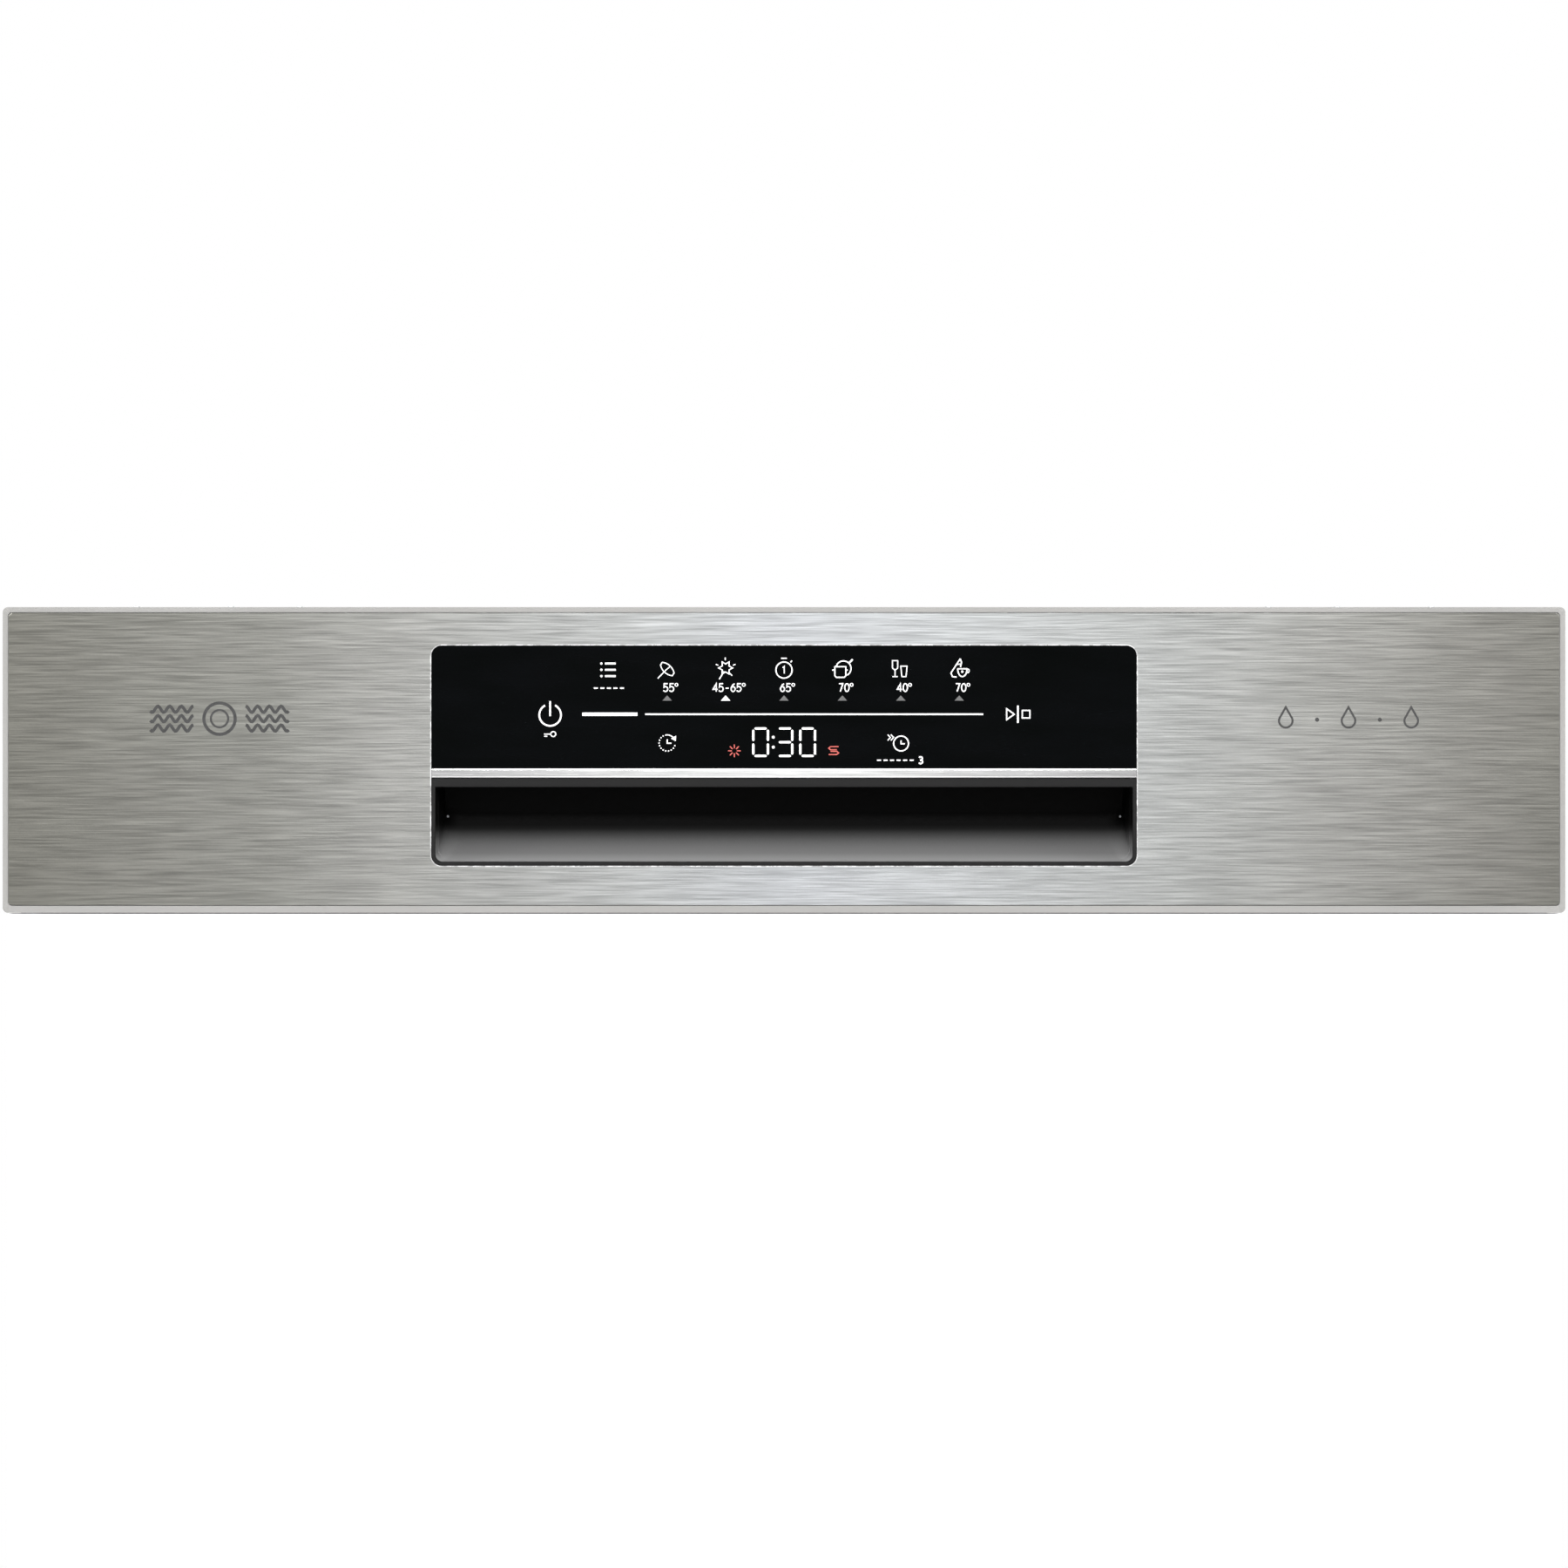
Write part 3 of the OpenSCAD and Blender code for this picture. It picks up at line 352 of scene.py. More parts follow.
def lit(name, levels, strength):
    """A lit symbol under the glass, with a little unevenness from its light guide."""
    colour = linear(*levels)
    made = Finish(name, colour, 0.6, Emission_Strength=strength)
    glow = made.noise(300, detail=1.0)
    dim = [c * 0.9 for c in colour]
    shade = made.ramp(glow, [(0.35, dim), (0.65, colour)])
    made.paint(shade)
    made.tree.links.new(shade, made.shader.inputs["Emission Color"])
    return made


def print_ink():
    """Dark pad-printed ink on the steel."""
    made = Finish("print_ink", linear(34), 0.55)
    wear = made.noise(700, detail=2.0)
    made.paint(made.ramp(wear, spread(tones(26, 46), 0.3, 0.7)))
    return made.rough(wear, 0.48, 0.62)


def floor_paint():
    """Plain pale studio floor."""
    made = Finish("studio_floor", linear(238), 0.85, Specular_IOR_Level=0.15)
    made.paint(made.ramp(made.noise(3, detail=3.0), spread(tones(234, 240), 0.3, 0.7)))
    return made.rough(made.noise(60), 0.8, 0.9)


# ---------- Geometry helpers ----------

def arc(center, radius, start, end, steps):
    """Points of an arc in a plane; the angles are degrees anticlockwise from the first axis."""
    radii = radius if isinstance(radius, tuple) else (radius, radius)
    angles = [math.radians(start + (end - start) * i / steps) for i in range(steps + 1)]
    return [(center[0] + radii[0] * math.cos(a), center[1] + radii[1] * math.sin(a)) for a in angles]


def fillet(points, radius, steps=4):
    """A path in space whose inner corners are rounded off."""
    points = [Vector(p) for p in points]
    path = [points[0]]
    for before, corner, after in zip(points, points[1:], points[2:]):
        arm_in = (before - corner).normalized()
        arm_out = (after - corner).normalized()
        reach = min(radius, (before - corner).length / 2, (after - corner).length / 2)
        start, end = corner + arm_in * reach, corner + arm_out * reach
        for i in range(steps + 1):
            t = i / steps
            path.append(start.lerp(corner, t).lerp(corner.lerp(end, t), t))
    return path + [points[-1]]


class Shape:
    """Vertices and faces gathered in millimetres and built into one piece."""

    def __init__(self):
        self.points = []
        self.faces = []

    def add(self, points, faces):
        first = len(self.points)
        self.points += [Vector(p) for p in points]
        self.faces += [[first + i for i in face] for face in faces]
        return self

    def block(self, low, high):
        corners = [(x, y, z) for z in (low[2], high[2])
                   for y in (low[1], high[1]) for x in (low[0], high[0])]
        return self.add(corners, [(0, 2, 3, 1), (4, 5, 7, 6), (0, 1, 5, 4),
                                  (2, 6, 7, 3), (0, 4, 6, 2), (1, 3, 7, 5)])

    def rings(self, loops, wrap=True, caps=True, closed=False):
        """Skin a list of loops that have the same number of points."""
        count = len(loops[0])
        faces = []
        last = len(loops) if closed else len(loops) - 1
        for i in range(last):
            k = (i + 1) % len(loops)
            for j in range(count if wrap else count - 1):
                n = (j + 1) % count
                faces.append((i * count + j, i * count + n, k * count + n, k * count + j))
        if caps and wrap and not closed:
            faces.append(tuple(reversed(range(count))))
            faces.append(tuple(range((len(loops) - 1) * count, len(loops) * count)))
        return self.add([p for loop in loops for p in loop], faces)

    def lathe(self, profile, origin, axis, steps=32, closed=False):
        """Turn (distance along axis, radius) pairs about an axis; a closed profile makes a ring."""
        turn = Vector((0, 0, 1)).rotation_difference(Vector(axis)).to_matrix()
        loops = []
        for height, radius in profile:
            loops.append([Vector(origin) + turn @ Vector((x, y, height))
                          for x, y in arc((0, 0), radius, 0, 360 - 360 / steps, steps - 1)])
        return self.rings(loops, closed=closed)

    def tube(self, path, radius, sides=10, closed=False):
        """A round tube along a path; radius may be a function of the distance along it."""
        path = [Vector(p) for p in path]
        count = len(path)
        normal = None
        loops = []
        travelled = 0.0
        for i, point in enumerate(path):
            after = path[(i + 1) % count] if closed else path[min(i + 1, count - 1)]
            before = path[i - 1] if closed or i else path[0]
            tangent = (after - before).normalized()
            if normal is None:
                normal = tangent.orthogonal().normalized()
            normal = (normal - tangent * normal.dot(tangent)).normalized()
            side = tangent.cross(normal)
            travelled += (point - path[i - 1]).length if i else 0.0
            size = radius(travelled) if callable(radius) else radius
            loops.append([point + normal * x + side * y
                          for x, y in arc((0, 0), size, 0, 360 - 360 / sides, sides - 1)])
        return self.rings(loops, closed=closed)

    def ribbon(self, points, width, closed=False, thick=0.1, face=0.0):
        """A flat stroke of even width drawn in width and height on a plane facing the front."""
        flat = [Vector(p) for p in points]
        count = len(flat)
        left, right = [], []
        for i, point in enumerate(flat):
            after = flat[(i + 1) % count] if closed else flat[min(i + 1, count - 1)]
            before = flat[i - 1] if closed or i else flat[0]
            into = (point - before).normalized() if point != before else (after - point).normalized()
            away = (after - point).normalized() if point != after else into
            half = Vector((-(into + away).y, (into + away).x)).normalized()
            normal = Vector((-into.y, into.x))
            reach = width / 2 / max(0.35, half.dot(normal))
            left.append(point + half * reach)
            right.append(point - half * reach)
        loops = [[(a.x, face, a.y), (b.x, face, b.y), (b.x, face + thick, b.y), (a.x, face + thick, a.y)]
                 for a, b in zip(left, right)]
        return self.rings(loops, closed=closed)

    def plate(self, outline, face=0.0, thick=0.1):
        """A filled flat shape on a plane facing the front."""
        front = [(x, face, z) for x, z in outline]
        back = [(x, face + thick, z) for x, z in outline]
        return self.rings([front, back])

    def sheet(self, rows):
        """An open surface through rows of points."""
        return self.rings(rows, wrap=False, caps=False)

    def mirrored(self):
        """Add the mirror image across the middle of the machine."""
        points = [Vector((-p.x, p.y, p.z)) for p in self.points]
        return self.add(points, [tuple(reversed(face)) for face in self.faces])

    def build(self, name, body, slot, replaces=(), finish=None, smooth=35, bevel=0.0):
        """Make the piece, ride it on its body and give it the slot's finish unless it has its own."""
        mesh = bpy.data.meshes.new(name)
        mesh.from_pydata([p * MM for p in self.points], [], self.faces)
        work = bmesh.new()
        work.from_mesh(mesh)
        bmesh.ops.recalc_face_normals(work, faces=work.faces)
        work.to_mesh(mesh)
        work.free()
        mesh.update()
        piece = new_object(name, mesh)
        mesh.materials.append((finish or finishes[slot]).mat)
        soften(piece, smooth, bevel)
        return declare(piece, body, replaces)


def soften(piece, angle=35, bevel=0.0, segments=2):
    """Round a piece's hard edges a little and shade its soft ones smoothly."""
    if bevel:
        made = piece.modifiers.new("edge", "BEVEL")
        made.width = bevel * MM
        made.segments = segments
        made.limit_method = "ANGLE"
        made.angle_limit = math.radians(30)
        made.harden_normals = False
    if angle:
        smooth = piece.modifiers.new("smooth", "NODES")
        smooth.node_group = smoothing(angle)
        flatten = piece.modifiers.new("flatten", "WEIGHTED_NORMAL")
        flatten.keep_sharp = True
        flatten.weight = 100


SMOOTHING = {}


def smoothing(angle):
    """A geometry node group that shades smooth and keeps edges sharper than the angle."""
    if angle in SMOOTHING:
        return SMOOTHING[angle]
    group = bpy.data.node_groups.new(f"smooth_{angle}", "GeometryNodeTree")
    group.interface.new_socket("Geometry", in_out="INPUT", socket_type="NodeSocketGeometry")
    group.interface.new_socket("Geometry", in_out="OUTPUT", socket_type="NodeSocketGeometry")
    nodes, links = group.nodes, group.links
    source, target = nodes.new("NodeGroupInput"), nodes.new("NodeGroupOutput")
    edge = nodes.new("GeometryNodeInputMeshEdgeAngle")
    compare = nodes.new("FunctionNodeCompare")
    compare.operation = "GREATER_THAN"
    compare.inputs["B"].default_value = math.radians(angle)
    faces = nodes.new("GeometryNodeSetShadeSmooth")
    edges = nodes.new("GeometryNodeSetShadeSmooth")
    edges.domain = "EDGE"
    edges.inputs["Shade Smooth"].default_value = False
    links.new(edge.outputs["Unsigned Angle"], compare.inputs["A"])
    links.new(source.outputs["Geometry"], faces.inputs["Geometry"])
    links.new(faces.outputs["Geometry"], edges.inputs["Geometry"])
    links.new(compare.outputs["Result"], edges.inputs["Selection"])
    links.new(edges.outputs["Geometry"], target.inputs["Geometry"])
    SMOOTHING[angle] = group
    return group


def wires(name, lines, radius, body, replaces=(), closed=False):
    """Round rack wires as one curve piece; each line is a list of points."""
    curve = bpy.data.curves.new(name, "CURVE")
    curve.dimensions = "3D"
    curve.bevel_depth = radius * MM
    curve.bevel_resolution = 2
    curve.use_fill_caps = True
    for line in lines:
        spline = curve.splines.new("POLY")
        spline.points.add(len(line) - 1)
        spline.use_cyclic_u = closed
        for point, place in zip(spline.points, line):
            point.co = (*(Vector(place) * MM), 1.0)
    curve.materials.append(finishes["rack_wire"].mat)
    declare(new_object(name, curve), body, replaces)


# ---------- Sizes that come from the frame ----------

fascia_high = box("fascia_carrier")[1]
plate_low = box("fascia_plate")[0]
glass_low, glass_high = box("display_glass")
recess_low, recess_high = box("grip_recess")
strip_low = box("accent_strip")[0]
body_half = fascia_high.x
insert_half = glass_high.x
glass_top = glass_high.z
GRIP_LIP = 1.6                   # width of the dark rim round the grip
LIP_ABOVE = 3.4                  # height of the rim's upper edge, under the strip
SCOOP_RISE = 19.0                # height of the slope inside the grip
POCKET_DEPTH = 8.0               # where the hollow opens upwards behind the strip

# ---------- Camera, light and floor ----------

FOCAL, SENSOR = 200.0, 36.0      # a long lens, as the photograph shows no perspective
VIEW_WIDTH = 600.0               # width of the frame at the fascia's face
AIM_BELOW_TOP = 67.7             # the frame's middle, below the fascia's top edge


def add_camera():
    data = bpy.data.cameras.new("camera")
    data.lens = FOCAL
    data.sensor_width = SENSOR
    data.clip_end = 100.0
    camera = new_object("camera", data)
    distance = VIEW_WIDTH * FOCAL / SENSOR
    camera.location = Vector((0, plate_low.y - distance, fascia_high.z - AIM_BELOW_TOP)) * MM
    camera.rotation_euler = (math.radians(90), 0, 0)
    bpy.context.scene.camera = camera


def area_light(name, place, target, size, power):
    data = bpy.data.lights.new(name, "AREA")
    data.shape = "RECTANGLE"
    data.size, data.size_y = size
    data.energy = power
    lamp = new_object(name, data)
    lamp.location = place
    lamp.rotation_euler = (Vector(target) - Vector(place)).to_track_quat("-Z", "Y").to_euler()
    lamp.visible_camera = False


def add_light():
    """Soft even light: a pale surround that the camera sees as white, and three soft boxes."""
    world = bpy.data.worlds.new("studio")
    bpy.context.scene.world = world
    world.use_nodes = True
    nodes, links = world.node_tree.nodes, world.node_tree.links
    surround = nodes["Background"]
    surround.inputs["Color"].default_value = (1.0, 1.0, 1.0, 1.0)
    surround.inputs["Strength"].default_value = 0.62
    backdrop = nodes.new("ShaderNodeBackground")
    backdrop.inputs["Color"].default_value = (1.0, 1.0, 1.0, 1.0)
    seen = nodes.new("ShaderNodeLightPath")
    mix = nodes.new("ShaderNodeMixShader")
    links.new(seen.outputs["Is Camera Ray"], mix.inputs[0])
    links.new(surround.outputs[0], mix.inputs[1])
    links.new(backdrop.outputs[0], mix.inputs[2])
    links.new(mix.outputs[0], nodes["World Output"].inputs["Surface"])
    area_light("softbox_front", (0.0, -3.2, 2.3), (0, 0, 0.6), (0.9, 1.0), 110)
    area_light("softbox_left", (-3.2, -1.6, 1.8), (0, 0, 0.4), (1.6, 1.6), 40)
    area_light("softbox_right", (3.2, -1.6, 1.8), (0, 0, 0.4), (1.6, 1.6), 40)
    area_light("softbox_back", (0.0, 3.0, 2.4), (0, 0, 0.4), (2.0, 1.4), 40)


def add_floor():
    mesh = bpy.data.meshes.new("studio_floor")
    made = bmesh.new()
    bmesh.ops.create_grid(made, x_segments=8, y_segments=8, size=3.0)
    made.to_mesh(mesh)
    made.free()
    floor = new_object("studio_floor", mesh)
    floor.location.z = CAD_BOUNDS[0][2]
    mesh.materials.append(floor_paint().mat)


bpy.context.scene.view_settings.view_transform = "Standard"
add_camera()
add_light()
add_floor()

# ---------- Materials of the CAD nodes ----------

finishes = {
    "brushed_steel": fascia_steel(),
    "tub_steel": sheet_steel("tub_steel", (188, 205, 216), 0.26),
    "galvanised": galvanised(),
    "fascia_rim": moulded("fascia_rim", ((138, 137, 135), (146, 145, 143)), 0.4, Specular_IOR_Level=0.2),
    "black_glass": black_glass(),
    "bright_strip": bright_strip(),
    "grip_plastic": grip_plastic(),
    "circuit_board": circuit_board(),
    "white_front": white_lacquer(),
    "felt": felt(),
    "rubber": rubber("rubber", 62, 900),
    "base_plastic": moulded("base_plastic", ((44, 45, 47), (56, 57, 59)), 0.5),
    "grey_plastic": moulded("grey_plastic", ((146, 149, 154), (160, 163, 168)), 0.42),
    "white_plastic": moulded("white_plastic", ((226, 226, 222), (236, 236, 233)), 0.38),
    "blue_plastic": moulded("blue_plastic", ((52, 104, 176), (66, 120, 192)), 0.36),
    "filter_mesh": mesh_steel(),
    "rack_wire": nylon_wire(),
    "spring_steel": sheet_steel("spring_steel", (120, 142, 160), 0.34),
    "hose_rubber": rubber("hose_rubber", 70, 700),
}
EDGE_ROUND = {
    "fascia_carrier": 0.5, "fascia_plate": 0.25, "display_glass": 0.25, "accent_strip": 0.3,
    "furniture_front": 0.9, "base_tray": 1.0, "dispenser_body": 1.2, "dispenser_lid": 0.8,
    "cutlery_basket": 0.5, "salt_container": 2.5,
    "wash_pump_housing": 1.5, "drain_pump_housing": 1.2, "lower_spray_arm": 2.5, "upper_spray_arm": 2.5,
    "ceiling_spray_arm": 2.5, "feed_pipe": 2.5, "inlet_valve": 1.2, "terminal_box": 1.2, "salt_cap": 1.0,
    "top_frame": 0.3, "hinge_brackets": 0.4, "hinge_arms": 0.4, "tub_floor": 0.5, "sump": 1.0,
}


def dress_nodes():
    for name, node in frame["nodes"].items():
        node.data.materials.clear()
        node.data.materials.append(finishes[SLOT_OF[name]].mat)
        weld = node.modifiers.new("weld", "WELD")
        weld.merge_threshold = 0.002 * MM
        soften(node, 35, EDGE_ROUND.get(name, 0.0))


dress_nodes()

# ---------- Display ----------

SIGN_FACE = glass_low.y - 0.05   # the symbols stand a hair proud of the glass
THIN, MEDIUM, BOLD = 0.36, 0.42, 0.62
PROGRAMME_PITCH = 22.35
PROGRAMME_X = [PROGRAMME_PITCH * (i - 2) for i in range(6)]
BAR_DEPTH, CLOCK_DEPTH = 26.3, 37.0   # the rows of the progress bar and the clock, below the top edge


class Signs(Shape):
    """Flat strokes on the display; a place is (distance from the middle, distance below the top edge)."""

    def stroke(self, place, points, width=MEDIUM, closed=False):
        shifted = [(place[0] + x, glass_top - place[1] + z) for x, z in points]
        return self.ribbon(shifted, width, closed, face=SIGN_FACE)

    def ring(self, place, radius, width=MEDIUM, center=(0, 0)):
        return self.stroke(place, arc(center, radius, 0, 350, 35), width, closed=True)

    def filled(self, place, points):
        shifted = [(place[0] + x, glass_top - place[1] + z) for x, z in points]
        return self.plate(shifted, face=SIGN_FACE)

    def dot(self, place, radius, center=(0, 0)):
        return self.filled(place, arc(center, radius, 0, 330, 11))


DIGITS = {
    "0": [arc((0.5, 0.5), (0.5, 0.5), 90, 450, 20)],
    "1": [[(0.15, 0.78), (0.55, 1.0), (0.55, 0.0)]],
    "3": [arc((0.45, 0.75), (0.45, 0.25), 150, -80, 10) + arc((0.45, 0.27), (0.5, 0.27), 80, -150, 10)],
    "4": [[(0.75, 0.0), (0.75, 1.0), (0.0, 0.28), (1.05, 0.28)]],
    "5": [[(0.95, 1.0), (0.15, 1.0), (0.1, 0.56)] + arc((0.42, 0.32), (0.55, 0.32), 120, -145, 10)],
    "6": [[(0.85, 0.97), (0.45, 0.86), (0.06, 0.48)] + arc((0.5, 0.31), (0.46, 0.31), 150, 510, 18)],
    "7": [[(0.05, 1.0), (0.95, 1.0), (0.35, 0.0)]],
    "-": [[(0.15, 0.42), (0.85, 0.42)]],
}
DIGIT_HIGH, DIGIT_WIDE, DIGIT_PITCH, DIGIT_STROKE = 3.0, 1.65, 2.28, 0.4


def number(signs, place, text):
    """A small number with a degree ring, centred on its place."""
    start = -DIGIT_PITCH * len(text) / 2 + 0.3
    for i, letter in enumerate(text):
        for line in DIGITS[letter]:
            points = [(start + i * DIGIT_PITCH + x * DIGIT_WIDE, (y - 0.5) * DIGIT_HIGH) for x, y in line]
            signs.stroke(place, points, DIGIT_STROKE)
    signs.ring(place, 0.55, 0.28, (start + len(text) * DIGIT_PITCH + 0.35, DIGIT_HIGH / 2 - 0.45))


def power_symbol(signs, place):
    signs.stroke(place, arc((0, 0), 4.15, 62, -242, 40), BOLD)
    signs.stroke(place, [(0, 5.3), (0, -0.4)], BOLD)
    key = (place[0], place[1] + 7.3)
    signs.ring(key, 0.95, THIN, (1.2, 0))
    signs.stroke(key, [(-2.3, 0), (0.2, 0)], THIN)
    signs.stroke(key, [(-2.3, -0.85), (-1.1, -0.85)], THIN)


def list_symbol(signs, place):
    for z in (2.4, 0, -2.4):
        signs.dot(place, 0.45, (-2.6, z))
        signs.stroke(place, [(-1.2, z), (2.9, z)], 0.7)


def dashes(signs, place, count):
    """A row of dashes where such a display has a word."""
    pitch, length = 2.5, 1.5
    for i in range(count):
        x = (i - (count - 1) / 2) * pitch
        signs.stroke(place, [(x - length / 2, 0), (x + length / 2, 0)], 0.5)


def leaf_symbol(signs, place):
    upper = arc((-3.4, -3.6), 7.2, 84, 12, 12)
    lower = arc((3.5, 3.6), 7.2, 264, 192, 12)
    signs.stroke(place, [(x * 0.72, z * 0.72) for x, z in upper + lower], THIN, closed=True)
    signs.stroke(place, [(-3.6, -3.6), (-0.4, -0.3), (1.2, 1.0)], THIN)


def splash_symbol(signs, place):
    star = [(r * math.cos(math.radians(a)), r * math.sin(math.radians(a)) + 0.4)
            for a, r in zip(range(0, 360, 30), [2.7, 1.5] * 6)]
    signs.stroke(place, star, THIN, closed=True)
    for angle in (20, 92, 160):
        turned = math.radians(angle)
        points = [(r * math.cos(turned), r * math.sin(turned) + 0.4) for r in (3.0, 4.0)]
        signs.stroke(place, points, THIN)
    signs.stroke(place, [(-0.6, -0.9), (-2.4, -3.9)], MEDIUM)
    signs.stroke(place, [(1.6, -1.6), (2.5, -2.5)], THIN)


def stopwatch_symbol(signs, place):
    signs.ring(place, 3.1, MEDIUM, (0, -0.4))
    signs.stroke(place, [(-1.1, 4.1), (1.1, 4.1)], MEDIUM)
    signs.stroke(place, [(2.5, 2.6), (3.1, 3.2)], MEDIUM)
    signs.stroke(place, [(-0.5, 0.5), (0.1, 1.0), (0.1, -1.7)], THIN)


def pot_symbol(signs, place):
    pot = [(-2.9, 0.9), (1.3, 0.9), (1.3, -2.6), (0.7, -3.2), (-2.3, -3.2), (-2.9, -2.6)]
    signs.stroke(place, pot, MEDIUM, closed=True)
    signs.stroke(place, [(-3.9, -0.4), (-2.9, -0.4)], MEDIUM)
    signs.stroke(place, [(1.3, -0.4), (2.0, -0.4)], MEDIUM)
    signs.stroke(place, arc((0.4, 0.2), 2.9, 165, -62, 18), MEDIUM)
    signs.stroke(place, [(2.5, 2.3), (3.9, 3.7)], BOLD)


def glasses_symbol(signs, place):
    signs.stroke(place, [(-3.2, 3.2), (-1.2, 3.2), (-1.2, 0.4), (-2.2, -0.5), (-3.2, 0.4)], THIN, closed=True)
    signs.stroke(place, [(-2.2, -0.5), (-2.2, -2.9)], THIN)
    signs.stroke(place, [(-3.2, -2.9), (-1.2, -2.9)], THIN)
    signs.stroke(place, [(0.0, 1.1), (2.4, 1.1), (2.0, -2.9), (0.4, -2.9)], THIN, closed=True)


def bottle_symbol(signs, place):
    signs.stroke(place, [(0.4, 3.9), (-0.5, 2.6), (-3.2, -1.6), (-2.6, -2.9), (-1.0, -3.1)], MEDIUM)
    signs.stroke(place, [(0.4, 3.9), (0.9, 2.6), (0.5, 0.8)], MEDIUM)
    signs.stroke(place, [(-1.0, 1.8), (0.7, 1.9)], THIN)
    cup = [(-0.6, 0.1)] + arc((1.2, 0.1), (1.8, 3.0), 180, 360, 14)
    signs.stroke(place, cup, MEDIUM, closed=True)
    signs.stroke(place, arc((3.0, -0.7), 0.8, 70, -110, 8), THIN)
    signs.dot(place, 0.45, (1.2, -1.0))


def delay_symbol(signs, place):
    for angle in range(100, 345, 20):
        turn = math.radians(angle)
        signs.dot(place, 0.26, (3.1 * math.cos(turn), 3.1 * math.sin(turn)))
    signs.stroke(place, arc((0, 0), 3.1, 92, 38, 8), THIN)
    signs.filled(place, [(3.3, 0.7), (3.4, 2.8), (1.5, 1.7)])
    signs.stroke(place, [(0, 1.4), (0, -0.1), (1.6, -0.1)], MEDIUM)


def fast_clock_symbol(signs, place):
    signs.ring(place, 2.85, MEDIUM)
    signs.stroke(place, [(0, 1.2), (0, -0.1), (1.4, -0.1)], MEDIUM)
    for x in (-5.1, -3.9):
        signs.stroke(place, [(x, 3.4), (x + 1.0, 2.3), (x, 1.2)], THIN)


def start_symbol(signs, place):
    signs.stroke(place, [(-4.2, 2.1), (-4.2, -2.1), (-1.3, 0)], MEDIUM, closed=True)
    signs.stroke(place, [(0.1, 3.3), (0.1, -3.3)], 0.6)
    signs.stroke(place, [(1.8, 1.45), (4.7, 1.45), (4.7, -1.45), (1.8, -1.45)], MEDIUM, closed=True)


SEGMENTS = {"a": ((0, 1), (1, 1)), "b": ((1, 1), (1, 0.5)), "c": ((1, 0.5), (1, 0)), "d": ((0, 0), (1, 0)),
            "e": ((0, 0.5), (0, 0)), "f": ((0, 1), (0, 0.5)), "g": ((0, 0.5), (1, 0.5))}
SEGMENT_WIDE, SEGMENT_HIGH, SEGMENT_THICK = 5.6, 10.5, 0.82


def segment_digit(signs, place, lit_segments):
    """One digit of the clock: bars with mitred ends and hairline gaps."""
    for key in lit_segments:
        ends = [Vector(((x - 0.5) * SEGMENT_WIDE, (z - 0.5) * SEGMENT_HIGH)) for x, z in SEGMENTS[key]]
        run = (ends[1] - ends[0]).normalized()
        side = Vector((-run.y, run.x)) * SEGMENT_THICK / 2
        tip, shoulder = run * 0.42, run * (SEGMENT_THICK / 2 + 0.36)
        start, end = ends
        outline = [start + tip, start + shoulder + side, end - shoulder + side,
                   end - tip, end - shoulder - side, start + shoulder - side]
        signs.filled(place, [tuple(p) for p in outline])


def display():
    bright, dim, red = Signs(), Signs(), Signs()
    power_symbol(bright, (-89.5, 26.6))
    list_symbol(bright, (-67.3, 9.3))
    dashes(bright, (-67.0, 16.3), 5)
    bright.stroke((0, BAR_DEPTH), [(-77.2, 0), (-56.1, 0)], 1.25)
    bright.stroke((0, BAR_DEPTH), [(-53.1, 0), (76.2, 0)], 0.58)
    symbols = [leaf_symbol, splash_symbol, stopwatch_symbol, pot_symbol, glasses_symbol, bottle_symbol]
    degrees = ["55", "45-65", "65", "70", "40", "70"]
    for i, (x, symbol, text) in enumerate(zip(PROGRAMME_X, symbols, degrees)):
        symbol(bright, (x, 9.0))
        number(bright, (x + 0.6, 16.1), text)
        arrow = bright if i == 1 else dim
        arrow.filled((x, 20.1), [(-1.8, -1.0), (1.8, -1.0), (0, 1.0)])
    delay_symbol(bright, (-44.7, 37.3))
    fast_clock_symbol(bright, (44.8, 37.5))
    dashes(bright, (42.6, 43.9), 6)
    for line in DIGITS["3"]:
        bright.stroke((51.6, 43.9), [(x * 1.5, (y - 0.5) * 2.6) for x, y in line], 0.5)
    start_symbol(bright, (89.4, BAR_DEPTH))
    for x, lit_segments in ((-8.95, "abcdef"), (0.35, "abcdg"), (9.05, "abcdef")):
        segment_digit(bright, (x, CLOCK_DEPTH), lit_segments)
    for z in (-1.9, 1.9):
        bright.dot((-4.1, CLOCK_DEPTH), 0.55, (0, z))
    for angle in range(0, 360, 45):
        turn = math.radians(angle)
        rays = [(r * math.cos(turn), r * math.sin(turn)) for r in (0.95, 2.4)]
        red.stroke((-19.0, 40.3), rays, 0.42)
    red.stroke((19.0, 40.3), [(1.9, 1.6), (-1.2, 1.6), (-1.9, 1.0), (-1.2, 0.4), (1.2, 0.4)], 0.42)
    red.stroke((19.0, 40.3), [(-1.9, -1.4), (1.2, -1.4), (1.9, -0.8), (1.2, -0.2), (-1.2, -0.2)], 0.42)
    bright.build("display_symbols", "door", "black_glass", finish=lit("symbol_white", (236,), 0.5), smooth=0)
    dim.build("display_arrows", "door", "black_glass", finish=lit("symbol_grey", (84,), 0.07), smooth=0)
    red.build("display_warnings", "door", "black_glass", finish=lit("symbol_red", (176, 78, 70), 0.22),
              smooth=0)


display()

# ---------- Insert: grip recess, edges and printed marks ----------

